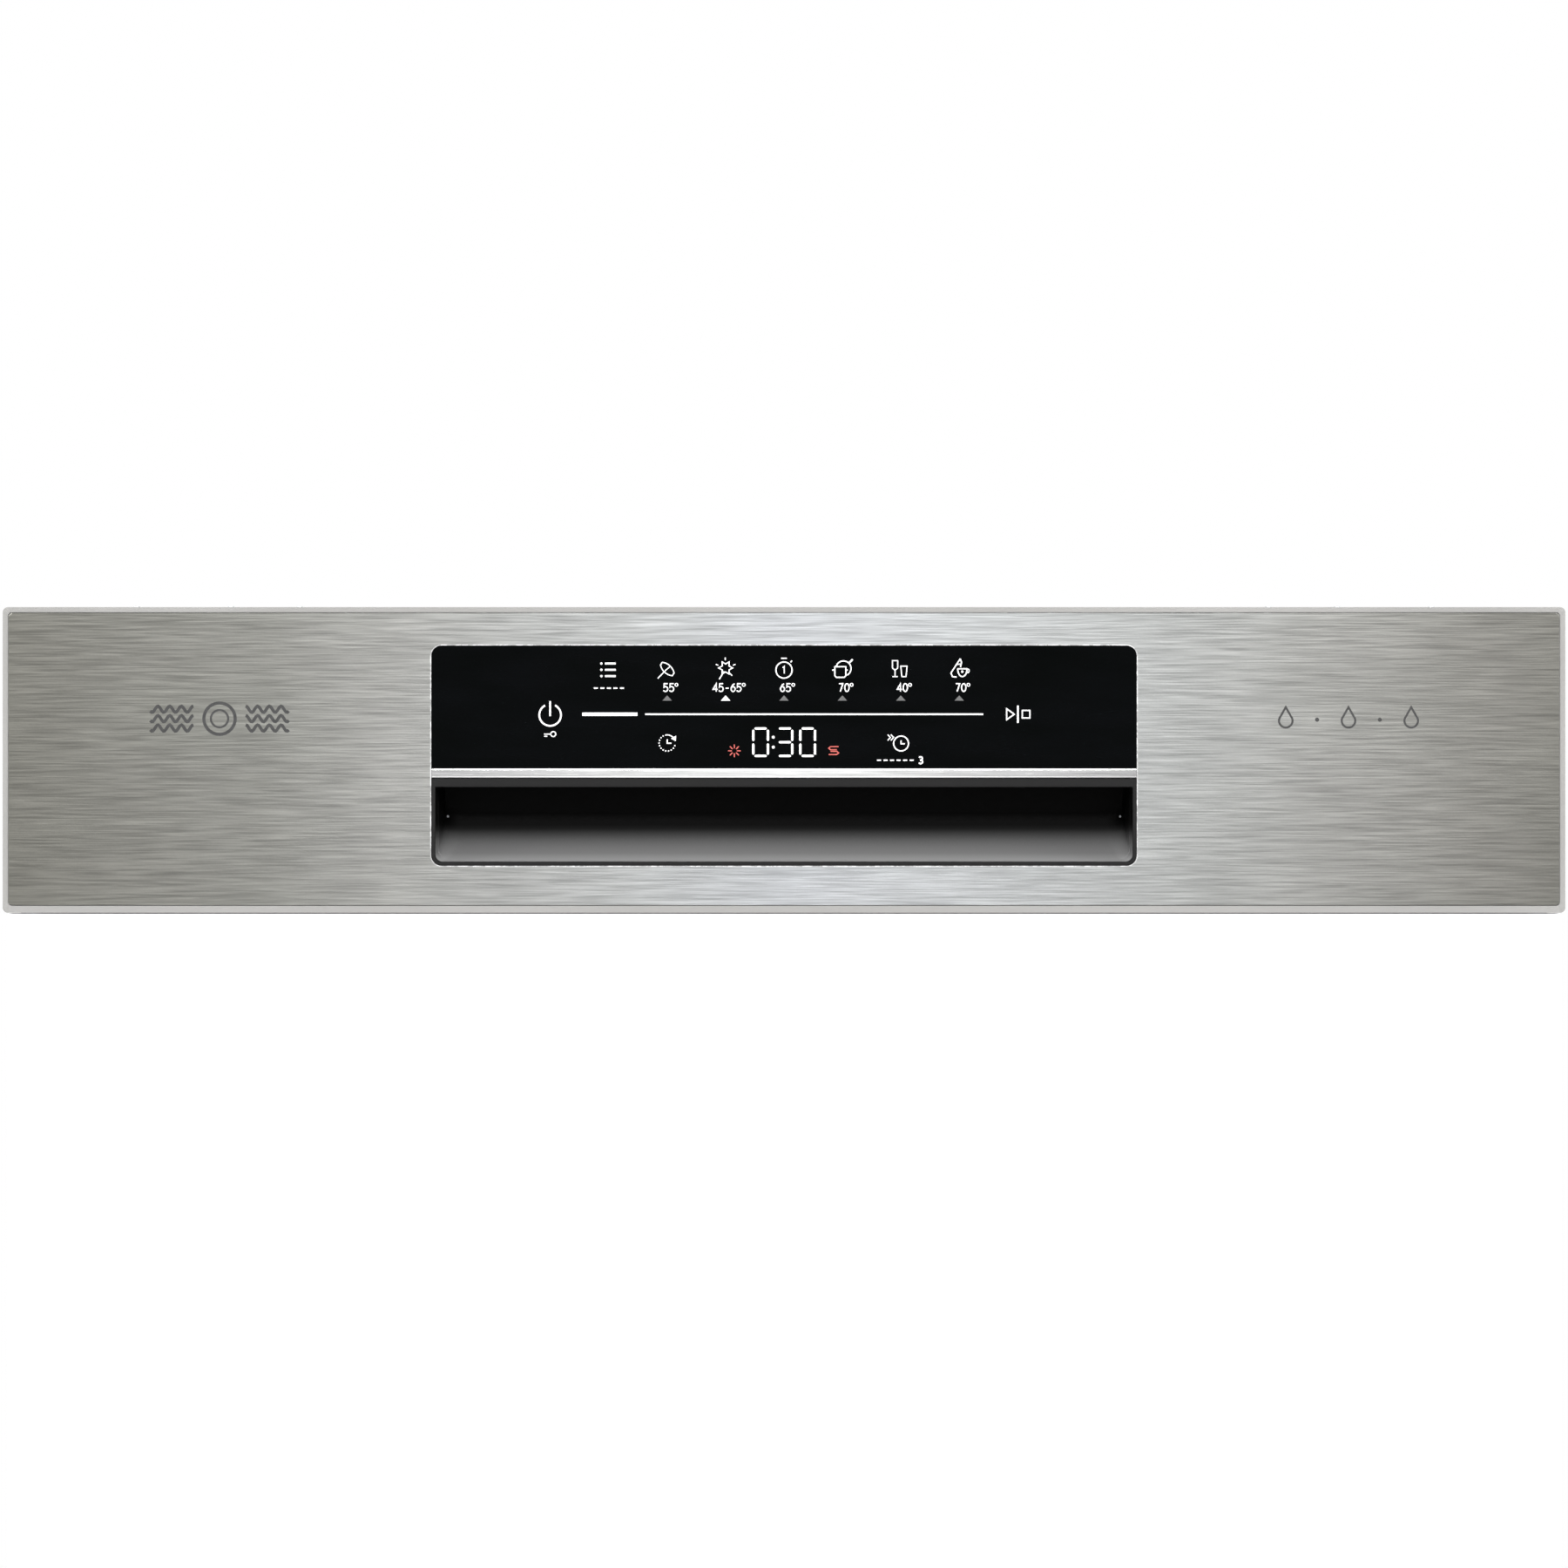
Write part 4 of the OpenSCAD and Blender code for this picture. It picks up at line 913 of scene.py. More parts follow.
def outline(low, high, low_r, high_r, steps=8):
    """A rectangle with round corners, anticlockwise from its lower left corner."""
    points = []
    corners = [(low[0], low[1], low_r, 180), (high[0], low[1], low_r, 270),
               (high[0], high[1], high_r, 0), (low[0], high[1], high_r, 90)]
    for x, z, radius, start in corners:
        inward = (radius if x == low[0] else -radius, radius if z == low[1] else -radius)
        points += arc((x + inward[0], z + inward[1]), radius, start, start + 90, steps)
    return points


def grip_recess():
    """The hollow for the fingers: a rim, a slope that curves up to the back wall, a pocket above."""
    low = (recess_low.x, recess_low.z)
    top = strip_low.z - 0.1
    face = recess_low.y
    depth = recess_high.y - face - 2.6
    pocket_top = recess_high.z - 2
    shape = Shape()
    loops = [[(x, face + 11, z) for x, z in outline(low, (-low[0], top), 4, 0.4)],
             [(x, face + 0.3, z) for x, z in outline(low, (-low[0], top), 4, 0.4)],
             [(x, face, z) for x, z in outline((low[0] + 0.3, low[1] + 0.3),
                                               (-low[0] - 0.3, top - 0.1), 3.8, 0.4)],
             [(x, face, z) for x, z in outline((low[0] + GRIP_LIP - 0.3, low[1] + GRIP_LIP - 0.3),
                                               (-low[0] - GRIP_LIP + 0.3, top - LIP_ABOVE + 0.3), 3.0, 0.4)]]
    steps = 26
    for i in range(steps + 1):
        turn = math.pi / 2 * i / steps
        back = depth * math.sin(turn)
        share = back / depth
        side = GRIP_LIP + 2.6 * share
        ceiling = top - LIP_ABOVE if back < POCKET_DEPTH else pocket_top
        floor = low[1] + GRIP_LIP + SCOOP_RISE * (1 - math.cos(turn))
        loops.append([(x, face + 0.4 + back, z) for x, z in
                      outline((low[0] + side, floor), (-low[0] - side, ceiling),
                              2.8 + 5 * share, 0.4 + 2 * share)])
        following = depth * math.sin(math.pi / 2 * (i + 1) / steps)
        if back < POCKET_DEPTH <= following:
            loops.append([(x, face + 0.4 + following, z) for x, z in
                          outline((low[0] + side, floor + 0.4), (-low[0] - side, top - LIP_ABOVE),
                                  2.8 + 5 * share, 0.6)])
    shape.rings(loops, caps=False)
    shape.add(loops[-1], [tuple(range(len(loops[-1])))])
    shape.build("grip_shell", "door", "grip_plastic", ["grip_recess"], smooth=40)
    # Painted glints: two small discs, shaped like ejector marks and lighter than the black back wall round
    # them.
    marks = Shape()
    for x in (-129.7, 129.7):
        marks.lathe([(0, 0.45), (0.3, 0.45), (0.4, 0.2)],
                    (x, face + depth * 0.97, low[1] + 18.8), (0, -1, 0), 12)
    marks.build("grip_painted_glints", "door", "grip_plastic", finish=finishes["grey_plastic"])


def insert_edge():
    """A painted highlight round the black insert: a flat bright ring for the steel's cut edge, painted where
    that edge catches the light.
    """
    reach = 0.2
    shape = Shape()
    loop = outline((-insert_half - reach, recess_low.z - reach),
                   (insert_half + reach, glass_top + reach), 4.2, 4.2)
    shape.ribbon(loop, 0.36, closed=True, thick=0.8, face=plate_low.y - 0.02)
    shape.build("insert_edge", "door", "brushed_steel", finish=painted_edge_highlight())


def painted_edge_highlight():
    """Painted highlight: a bright finish for the ring that stands for the steel sheet's sheared edge."""
    made = Finish("painted_edge_highlight", linear(236), 0.25, Metallic=1.0)
    grain = made.noise(500, 500, 500, detail=2.0)
    made.paint(made.ramp(grain, spread(tones(214, 246), 0.3, 0.7)))
    return made.rough(grain, 0.2, 0.34)


def printed_marks():
    """Generic printed pictograms where such a machine carries its printing: dishes and water, no words."""
    shape = Shape()
    face = plate_low.y - 0.02
    left, middle = -216.0, glass_top - 28.0
    wide, tall = 1.2, 0.8

    def stroke(x, z, points, width, closed=False):
        shape.ribbon([(x + a, z + b) for a, b in points], width, closed, face=face, thick=0.05)

    stroke(left, middle, arc((0, 0), 6.0, 0, 350, 35), wide, closed=True)
    stroke(left, middle, arc((0, 0), 3.3, 0, 350, 35), tall, closed=True)
    for side in (1, -1):
        for row in (1, 0, -1):
            points = [(side * x / 2, 1.2 * math.sin(x * 0.7) + 3.6 * row) for x in range(20, 54)]
            stroke(left, middle, points, wide)
    right = 216.0
    drop = [(0, 4.4)] + arc((0, -0.8), 2.6, 40, -220, 18)
    for x in (-24, 0, 24):
        stroke(right + x, middle, drop, tall, closed=True)
    for x in (-12, 12):
        shape.plate([(right + x + a, middle + b) for a, b in arc((0, -0.4), 0.8, 0, 330, 11)], face, 0.05)
    shape.build("printed_pictograms", "door", "brushed_steel", finish=print_ink(), smooth=0)


grip_recess()
insert_edge()
printed_marks()

# ---------- Racks ----------

WIRE, RIM_WIRE = 1.6, 2.4        # radii of the rack wires and of the thicker rim
PITCH, LAP = 38.0, 2.5           # spacing of the wires, and the height of a wire laid over another
TINE_PITCH = 30.0
rack_low, rack_high = box("lower_rack")
RACK_HALF = rack_high.x - RIM_WIRE
RACK_FRONT = rack_low.y + RIM_WIRE
RACK_BACK = rack_high.y - RIM_WIRE


def rack_levels(node):
    """Heights of a rack's floor wires and of its rim."""
    low, high = box(node)
    return low.z + WIRE, high.z - RIM_WIRE


def ring_of_wire(z, radius=14.0):
    points = outline((-RACK_HALF, RACK_FRONT), (RACK_HALF, RACK_BACK), radius, radius, 6)
    return [(x, y, z) for x, y in points]


def basket(name, node, tines):
    """A rack of bent round wires: U-shaped hoops both ways, two rings (the rim and one halfway up) and its
    tines.
    """
    floor_z, rim_z = rack_levels(node)
    hoops = []
    for i in range(-6, 7):
        hoops.append(fillet([(i * PITCH, RACK_FRONT, rim_z), (i * PITCH, RACK_FRONT, floor_z),
                             (i * PITCH, RACK_BACK, floor_z), (i * PITCH, RACK_BACK, rim_z)], 12))
    for k in range(11):
        y, z = RACK_FRONT + 7 + k * PITCH, floor_z + LAP
        hoops.append(fillet([(-RACK_HALF, y, rim_z), (-RACK_HALF, y, z),
                             (RACK_HALF, y, z), (RACK_HALF, y, rim_z)], 12))
    wires(name, hoops + tines, WIRE, node, [node])
    wires(f"{name}_rim", [ring_of_wire(rim_z)], RIM_WIRE, node, closed=True)
    wires(f"{name}_rings", [ring_of_wire((floor_z + rim_z) / 2)], WIRE, node, closed=True)


def tine_row(y, floor_z, xs, height, ends):
    """A row of upright tines, with the wire that carries them."""
    row = [fillet([(x, y, floor_z + height), (x, y, floor_z + 2), (x, y, floor_z)], 1, 1) for x in xs]
    return row + [[(ends[0], y, floor_z + LAP), (ends[1], y, floor_z + LAP)]]


def tips(name, places, radius, body):
    """Drops of coating on the tips of the tines."""
    shape = Shape()
    drop = [(-3.0, radius * 0.9), (-1.5, radius + 0.25), (0.0, radius + 0.25), (1.0, radius * 0.7),
            (1.4, radius * 0.2)]
    for place in places:
        shape.lathe(drop, place, UP, 10)
    shape.build(name, body, "rack_wire")


def upper_rack():
    floor_z, rim_z = rack_levels("upper_rack")
    xs, ys, tall = [-60 + PITCH * i for i in range(8)], (-60, 70), 62
    rows = [line for y in ys for line in tine_row(y, floor_z, xs, tall, (-76, 228))]
    basket("upper_basket", "upper_rack", rows)
    tips("upper_tine_tips", [(x, y, floor_z + tall) for y in ys for x in xs], WIRE, "upper_rack")
    rail = Shape()
    rail_z = sum(box("rail_sliders")[i].z for i in (0, 1)) / 2
    rail.block((253, -190, rail_z - 3), (261, 200, rail_z + 3))
    rail.block((251.5, -192, rail_z - 4.5), (255, -184, rail_z + 4.5))
    for y in (-150, 0, 150):
        rail.block((245, y - 8, rail_z - 6), (255, y + 8, rail_z + 6))
        rail.lathe([(0, 4.0), (1.2, 4.0), (1.8, 3.2), (1.8, 1.2), (0.8, 0.6)],
                   (245, y, rail_z), (-1, 0, 0), 16)
    rail.mirrored().build("upper_rack_tongues", "upper_rack", "grey_plastic", bevel=0.8)
    handle = Shape()
    for side in (-1, 1):
        handle.tube(fillet([(side * 62, RACK_FRONT, rim_z + 0.5), (side * 62, RACK_FRONT - 1, rim_z - 22),
                            (0, RACK_FRONT - 1, rim_z - 26)], 10), 3.4, 12)
    handle.build("upper_rack_handle", "upper_rack", "grey_plastic")


def cup_shelf():
    low, high = box("cup_shelf")
    origin, reach, half = Vector((low.x + 2, 0, low.z + 2)), 105.0, high.y
    lines = [[(origin.x, -half, origin.z), (origin.x, half, origin.z)]]
    for k in range(9):
        y = 2 - half + 37 * k
        lines.append(fillet([(origin.x, y, origin.z), (origin.x + reach, y, origin.z)], 1))
    lines.append(fillet([(origin.x + 2, 2 - half, origin.z), (origin.x + reach, 2 - half, origin.z),
                         (origin.x + reach, half - 2, origin.z), (origin.x + 2, half - 2, origin.z)], 14, 6))
    middle = origin.x + reach / 2
    lines.append([(middle, 2 - half, origin.z), (middle, half - 2, origin.z)])
    wires("cup_shelf_wires", lines, 1.5, "cup_shelf", ["cup_shelf"])
    clips = Shape()
    for y in (-111, 0, 111):
        clips.lathe([(-6, 3.4), (-5, 3.9), (5, 3.9), (6, 3.4)], (origin.x, y, origin.z), BACKWARDS, 14)
    clips.build("cup_shelf_clips", "cup_shelf", "grey_plastic")


def lower_rack():
    floor_z, rim_z = rack_levels("lower_rack")
    xs, ys, tall = [-190 + TINE_PITCH * i for i in range(13)], (117, 174), 75
    rows = [line for y in ys for line in tine_row(y, floor_z, xs, tall, (-228, 228))]
    basket("lower_basket", "lower_rack", rows)
    tips("lower_tine_tips", [(x, y, floor_z + tall) for y in ys for x in xs], WIRE, "lower_rack")
    saddles = Shape()
    saddles.block((186, 56.2, floor_z), (194, 63.8, floor_z + 13))
    saddles.mirrored().build("row_saddles", "lower_rack", "grey_plastic", bevel=0.7)
    handle, face, drop = Shape(), RACK_FRONT - 1, rim_z - 30
    handle.tube(fillet([(-70, face, rim_z - 2), (-70, face, drop),
                        (70, face, drop), (70, face, rim_z - 2)], 12, 6), 3.6, 12)
    handle.build("lower_rack_handle", "lower_rack", "grey_plastic")


def axle_line(node):
    """Depth and height of the line that a pair of wheels turns about."""
    low, high = box(node)
    return (low.y + high.y) / 2, (low.z + high.z) / 2


def wheel_carriers():
    """Moulded clips under the side wires, each with a rib and the axle of a wheel."""
    low, high = box("wheel_carriers")
    inner, lip = low.z + 2.7, high.z - 18
    shape = Shape()
    for node in ("wheels_front", "wheels_rear"):
        y, z = axle_line(node)
        shape.block((243, y - 9, inner), (248, y + 9, high.z - 7.1))
        shape.block((247.75, y - 9, lip), (249.5, y + 9, high.z))
        shape.block((241.8, y - 1.2, inner + 2), (243.5, y + 1.2, high.z - 9))
        shape.lathe([(0, 9), (5, 9)], (243, y, z), SIDEWAYS, 24)
        shape.lathe([(0, 5), (1.2, 5), (1.4, 3.0), (14, 3.0), (15.6, 2.6)], (246.4, y, z), SIDEWAYS, 20)
    shape.mirrored().build("wheel_clips", "lower_rack", "grey_plastic", ["wheel_carriers"], bevel=0.6)


def folding_row():
    low, high = box("folding_tines")
    y, foot, top = (low.y + high.y) / 2, low.z + 2, high.z - 1.4
    xs = [-165 + TINE_PITCH * i for i in range(12)]
    lines = [[(low.x, y, foot), (high.x, y, foot)]]
    lines += [fillet([(x, y, foot), (x, y, top)], 1) for x in xs]
    wires("folding_row", lines, WIRE, "folding_tines", ["folding_tines"])
    tips("folding_tine_tips", [(x, y, top) for x in xs], 1.4, "folding_tines")


def wheels(name, body):
    """Spoked wheels with a rounded tread, a rim, a hub and six spokes."""
    y, z = axle_line(body)
    middle = box(body)[1].x - 5.5
    tread = [(-4.2, 13.6), (-4.5, 14.4), (-4.5, 16.0), (-3.4, 17.0),
             (3.4, 17.0), (4.5, 16.0), (4.5, 14.4), (4.2, 13.6)]
    hub = [(-4.7, 3.06), (-5.0, 3.4), (-5.0, 5.4), (-4.4, 6.0),
           (4.4, 6.0), (5.0, 5.4), (5.0, 3.4), (4.7, 3.06)]
    shape = Shape()
    for profile in (tread, hub):
        shape.lathe(profile, (middle, y, z), SIDEWAYS, closed=True)
    center = Vector((middle, y, z))
    for i in range(6):
        turn = math.radians(60 * i + 30)
        out = Vector((0, math.cos(turn), math.sin(turn)))
        side = Vector((0, -math.sin(turn), math.cos(turn)))
        shape.rings([[center + out * r + side * w * a + Vector((b, 0, 0)) for a, b in
                      ((-1, -2.6), (1, -2.6), (1, 2.6), (-1, 2.6))] for r, w in ((5.4, 2.0), (14.2, 1.5))])
    shape.mirrored().build(name, body, "grey_plastic", [body], bevel=0.3)


upper_rack()
cup_shelf()
lower_rack()
wheel_carriers()
folding_row()
wheels("wheel_front_spoked", "wheels_front")
wheels("wheel_rear_spoked", "wheels_rear")

# ---------- Tub, seal and door lining ----------

def cut_window(piece, low, high):
    """Cut a rectangular window, given in width and height, through a piece that faces the front or back."""
    around, large_area = 60, 0.002      # millimetres round the window; square metres
    work = bmesh.new()
    work.from_mesh(piece.data)
    for axis, value in ((0, low[0]), (0, high[0]), (2, low[1]), (2, high[1])):
        place, normal = Vector((0, 0, 0)), Vector((0, 0, 0))
        place[axis], normal[axis] = value * MM, 1.0
        near = [f for f in work.faces if len(f.verts) > 4 or f.calc_area() > large_area or
                all(low[i] - around < f.calc_center_median()[2 * i] / MM < high[i] + around for i in (0, 1))]
        parts = list({v for f in near for v in f.verts}) + list({e for f in near for e in f.edges}) + near
        bmesh.ops.bisect_plane(work, geom=parts, plane_co=place, plane_no=normal)
    inside = [f for f in work.faces
              if all(low[i] < f.calc_center_median()[2 * i] / MM < high[i] for i in (0, 1))]
    bmesh.ops.delete(work, geom=inside, context="FACES")
    work.to_mesh(piece.data)
    work.free()


def solid_sheet(piece, thickness, offset=-1.0):
    """Give a sheet its thickness, before its edges are shaded."""
    made = piece.modifiers.new("thickness", "SOLIDIFY")
    made.thickness = thickness * MM
    made.offset = offset
    made.use_quality_normals = True
    piece.modifiers.move(len(piece.modifiers) - 1, 0)


def nested(loops, filled=False):
    """A sheet through loops of (low, high, corner radius, depth position), from the outside inwards."""
    skins = [[(x, y, z) for x, z in outline(low, high, r, r, 6)] for low, high, r, y in loops]
    shape = Shape().rings(skins, caps=False)
    if filled:
        shape.add(skins[-1], [tuple(range(len(skins[-1])))])
    return shape


def inset_loops(low, high, steps):
    """Loops that shrink a rectangle by (inset, corner radius, depth position) steps."""
    return [((low[0] + d, low[1] + d), (high[0] - d, high[1] - d), r, y) for d, r, y in steps]


def tub():
    """A deep-drawn tub: rounded top corners, two beads round the walls and a pressed back."""
    near, far = box("tub_wrap")
    half, foot, top, back = far.x - 1.2, near.z + 0.6, far.z - 1.3, far.y - 1.3
    skins = []
    for y, d in ((near.y + 0.4, 0), (-190, 0), (-186, -1.0), (-178, -1.0), (-174, 0), (130, 0), (134, -1.0),
                 (142, -1.0), (146, 0), (back - 14, 0), (back - 8, 2), (back - 3, 6), (back, 13)):
        skins.append([(x, y, z) for x, z in outline((d - half, foot), (half - d, top - d), 3.0, 24.0, 8)])
    for low, high, r, y in (((-215, 200), (215, 740), 30, back), ((-209, 206), (209, 734), 28, back - 2.4),
                            ((-60, 260), (60, 700), 20, back - 2.4)):
        skins.append([(x, y, z) for x, z in outline(low, high, r, r, 8)])
    shape = Shape().rings(skins, caps=False)
    shape.add(skins[-1], [tuple(range(len(skins[-1])))])
    solid_sheet(shape.build("tub_liner", "cabinet", "tub_steel", ["tub_wrap"]), 1.1, 1.0)


def tub_frame():
    """The frame round the mouth, with rounded corners that meet the tub."""
    near, far = box("front_frame")
    skin = 0.3
    low, high = (near.x + skin, near.z + skin), (far.x - skin, far.z - skin)
    face, back = near.y + skin, far.y
    skins = [[(x, y, z) for x, z in outline((low[0] + d, low[1] + d), (high[0] - d, high[1] - d), 6, 6, 8)]
             for d, y in ((0, back), (0, face + 0.2), (1, face))]
    for half, foot, top, y in ((270.4, 148.6, 795.4, face), (270.2, 148.8, 795.2, face + 0.6)):
        skins.append([(x, y, z) for x, z in outline((-half, foot), (half, top), 3.0, 24.0, 8)])
    shape = Shape().rings(skins, caps=False)
    solid_sheet(shape.build("mouth_frame", "cabinet", "tub_steel", ["front_frame"]), 2 * skin, 0.0)


def seal():
    """Hollow bulb seal clipped round the mouth, with a rib along its lip."""
    near, far = box("door_seal")
    base, tip, side, top, corner = far.y, near.y + 0.1, far.x - 5, far.z - 5, 14
    profile = [(-4.4, base), (-4.4, base - 1.6), (-3.2, base - 2.4)]
    profile += arc((-0.4, tip + 4.2), (4.4, 4.2), 200, -30, 14)
    profile += [(4.6, base - 2.6), (3.4, base - 1.6), (4.6, base - 0.8), (4.6, base)]
    path = [(-side, near.z), (-side, top - corner)] + arc((corner - side, top - corner), corner, 170, 90, 8)
    path += arc((side - corner, top - corner), corner, 90, 10, 8) + [(side, top - corner), (side, near.z)]
    loops = []
    for i, (x, z) in enumerate(path):
        before, after = path[max(i - 1, 0)], path[min(i + 1, len(path) - 1)]
        run = Vector((after[0] - before[0], after[1] - before[1])).normalized()
        loops.append([(x - run.y * a, b, z + run.x * a) for a, b in profile])
    Shape().rings(loops).build("bulb_seal", "cabinet", "rubber", ["door_seal"])


def door_lining():
    """The inner door: a flange, a dish in two steps, a frame round the dispenser and the latch slot."""
    near, far = box("door_inner_panel")
    face = far.y
    steps = inset_loops((near.x, near.z), (far.x, far.z), [
        (0, 3, near.y), (0, 3, face - 1.6), (0.5, 3, face - 0.5), (1.6, 3, face), (26, 16, face),
        (28, 18, face - 1.2), (36, 22, face - 10.4), (40, 22, face - 12), (62, 20, face - 12),
        (64, 20, face - 10.8), (72, 18, face - 10.8), (74, 18, face - 12)])
    near, far = box("dispenser_body")
    steps += inset_loops((near.x, near.z), (far.x, far.z), [
        (-8, 10, face - 12), (-6, 9, face - 6.5), (-2.6, 7, face - 4.2), (-1.2, 6, face - 4.6),
        (-1.2, 6, face - 14)])
    piece = nested(steps).build("door_lining", "door", "tub_steel", ["door_inner_panel"])
    cut_window(piece, (-9, 806.6), (9, 813))
    solid_sheet(piece, 0.8)


tub()
tub_frame()
seal()
door_lining()

# ---------- Spray arms, springs, hoses and feet ----------

def helix(center, radius, pitch, turns, per_turn=16):
    """Points of a helix along Y that starts at its center."""
    points = []
    for i in range(int(turns * per_turn) + 1):
        turn = 2 * math.pi * i / per_turn
        points.append((center[0] + radius * math.cos(turn), center[1] + pitch * i / per_turn,
                       center[2] + radius * math.sin(turn)))
    return points


def resample(path, step):
    """The same path with evenly spaced points."""
    result, carry = [path[0]], step
    for start, end in zip(path, path[1:]):
        length = (end - start).length
        while carry < length:
            result.append(start.lerp(end, carry / length))
            carry += step
        carry -= length
    return result + [path[-1]]


def blade_section(x, reach, y, z):
    """A flattened oval across a spray arm's blade, which narrows outwards and closes at its tip."""
    tail = max(0.0, x - (reach - 13)) / 13
    wide = (20 - 7 * min(1.0, x / (reach - 13))) * math.sqrt(max(0.0, 1 - tail ** 2)) + 0.4
    high = 5.4 * math.sqrt(max(0.0, 1 - 0.8 * tail ** 2))
    return [(y + wide * math.copysign(abs(a) ** 0.7, a), z + high * math.copysign(abs(b) ** 0.7, b))
            for a, b in arc((0, 0), 1, 0, 345, 23)]


def spray_arm(node, blade_rise, opens_up=False):
    """A blown arm with rounded blades, raised jets and a ribbed hub that is open to its pipe."""
    low, high = box(node)
    reach, y, blade_z = high.x, (low.y + high.y) / 2, low.z + blade_rise
    shape = Shape()
    for side in (-1, 1):
        loops = []
        for i in range(19):
            x = 11 + (reach - 11) * math.sin(math.pi / 2 * i / 18)
            loops.append([(side * x, a, b) for a, b in blade_section(x, reach, y, blade_z + 5.5)])
        shape.rings(loops)
        for i in range(1, 5):
            shape.lathe([(-1.2, 4.4), (0.4, 3.8), (1.0, 3.2), (1.0, 2.2), (-0.6, 1.6)],
                        (side * reach * i / 4.8, y + side * 5, blade_z + 10.8), UP, 18)
        shape.tube([(side * 26, y - side * 6, blade_z + 10.6),
                    (side * (reach - 24), y - side * 4, blade_z + 10.6)], 1.2, 8)
    closed, opened, into = (low.z, high.z, 1) if opens_up else (high.z, low.z, -1)
    shape.lathe([(closed, 0.1), (closed, 20), (closed + into * 2, 23.4), (opened - into * 1.5, 24),
                 (opened, 22.8), (opened, 10.15), (closed + into * 6, 10.15), (closed + into * 6, 0.1)],
                (0, y, 0), UP, 40)
    for a, b in arc((0, y), 17, 0, 330, 11):
        shape.lathe([(0, 1.8), (0.8, 1.2)], (a, b, closed - into * 0.2), (0, 0, -into), 8)
    shape.build(f"{node}_blown", node, "grey_plastic", [node], smooth=45)


def springs():
    """Coil springs of the door's balance, with a hook at either end."""
    low, high = box("door_springs")
    shape, x, z = Shape(), high.x - 5, (low.z + high.z) / 2
    shape.tube(helix((x, -90, z), 4.1, 2.6, 50), 0.85, 6)
    for start, way, end in ((-90, -1, low.y + 0.3), (40, 1, high.y - 0.4)):
        shape.tube(fillet([(x + 4.1, start, z), (x + 2, start + 2 * way, z), (x, start + 3 * way, z),
                           (x, end, z)], 2), 0.9, 8)
    shape.mirrored().build("coil_springs", "cabinet", "spring_steel", ["door_springs"])


def hoses():
    """Corrugated hoses with plain cuffs."""
    step, cuff, ripple, ripple_pitch = 1.2, 12, 0.75, 4.8
    shape = Shape()
    delivery = [(110, 97.1, 100), (110, 196, 100), (0, 196, 100), (0, 196, 124)]
    drain = [(238.1, -75, 64), (250, -75, 64), (250, 251, 64)]
    for corners, radius in ((delivery, 11.1), (drain, 9.2)):
        path = resample(fillet(corners, 16, 8), step)
        length = step * (len(path) - 1)

        def size(travelled, radius=radius, length=length):
            plain = travelled < cuff or travelled > length - cuff
            return radius + (0.2 if plain else ripple * math.sin(2 * math.pi * travelled / ripple_pitch))

        shape.tube(path, size, 16)
    shape.lathe([(0, 15.0), (4, 15.0), (5, 13.6), (7.4, 14.9), (9.8, 13.6), (10.8, 15.0), (14.8, 15.0)],
                (75.1, 45, 86), SIDEWAYS, 28)
    shape.build("corrugated_hoses", "cabinet", "hose_rubber", ["internal_hoses"], smooth=50)
    clips = Shape()
    for place, radius in (((110, 100, 100), 11.6), ((250, 246, 64), 9.8)):
        band = [(-2.5, radius), (-2.5, radius + 0.5), (2.5, radius + 0.5), (2.5, radius)]
        clips.lathe(band, place, BACKWARDS, 28)
    clips.build("hose_clips", "cabinet", "spring_steel")


def levelling_foot(node):
    """A rounded pad, a chamfered spanner hexagon and a threaded stem."""
    low, high = box(node)
    x, y = (low.x + high.x) / 2, (low.y + high.y) / 2
    shape = Shape()
    shape.lathe([(0, 18.6), (0.9, 19.8), (5.6, 20.0), (7.0, 19.0), (8.0, 15.5), (8.0, 4)], (x, y, 0), UP, 40)
    hexagon = [(8.0, 10.2), (8.7, 11.0), (13.3, 11.0), (14.0, 10.2)]
    shape.rings([[(x + a, y + b, z) for a, b in arc((0, 0), r, 0, 300, 5)] for z, r in hexagon])
    profile, z = [(13.5, 4.2)], 15.0
    while z < high.z - 2:
        profile += [(z, 4.3), (z + 0.75, 4.98)]
        z += 1.5
    shape.lathe(profile + [(z, 4.3), (high.z, 3.6)], (x, y, 0), UP, 20)
    shape.build(f"{node}_threaded", node, SLOT_OF[node], [node], smooth=30)


spray_arm("lower_spray_arm", 4)
spray_arm("upper_spray_arm", 2, opens_up=True)
spray_arm("ceiling_spray_arm", 2, opens_up=True)
springs()
hoses()
for foot in ("foot_front_left", "foot_front_right", "foot_rear"):
    levelling_foot(foot)

# ---------- Outer panels, ports and small fittings ----------

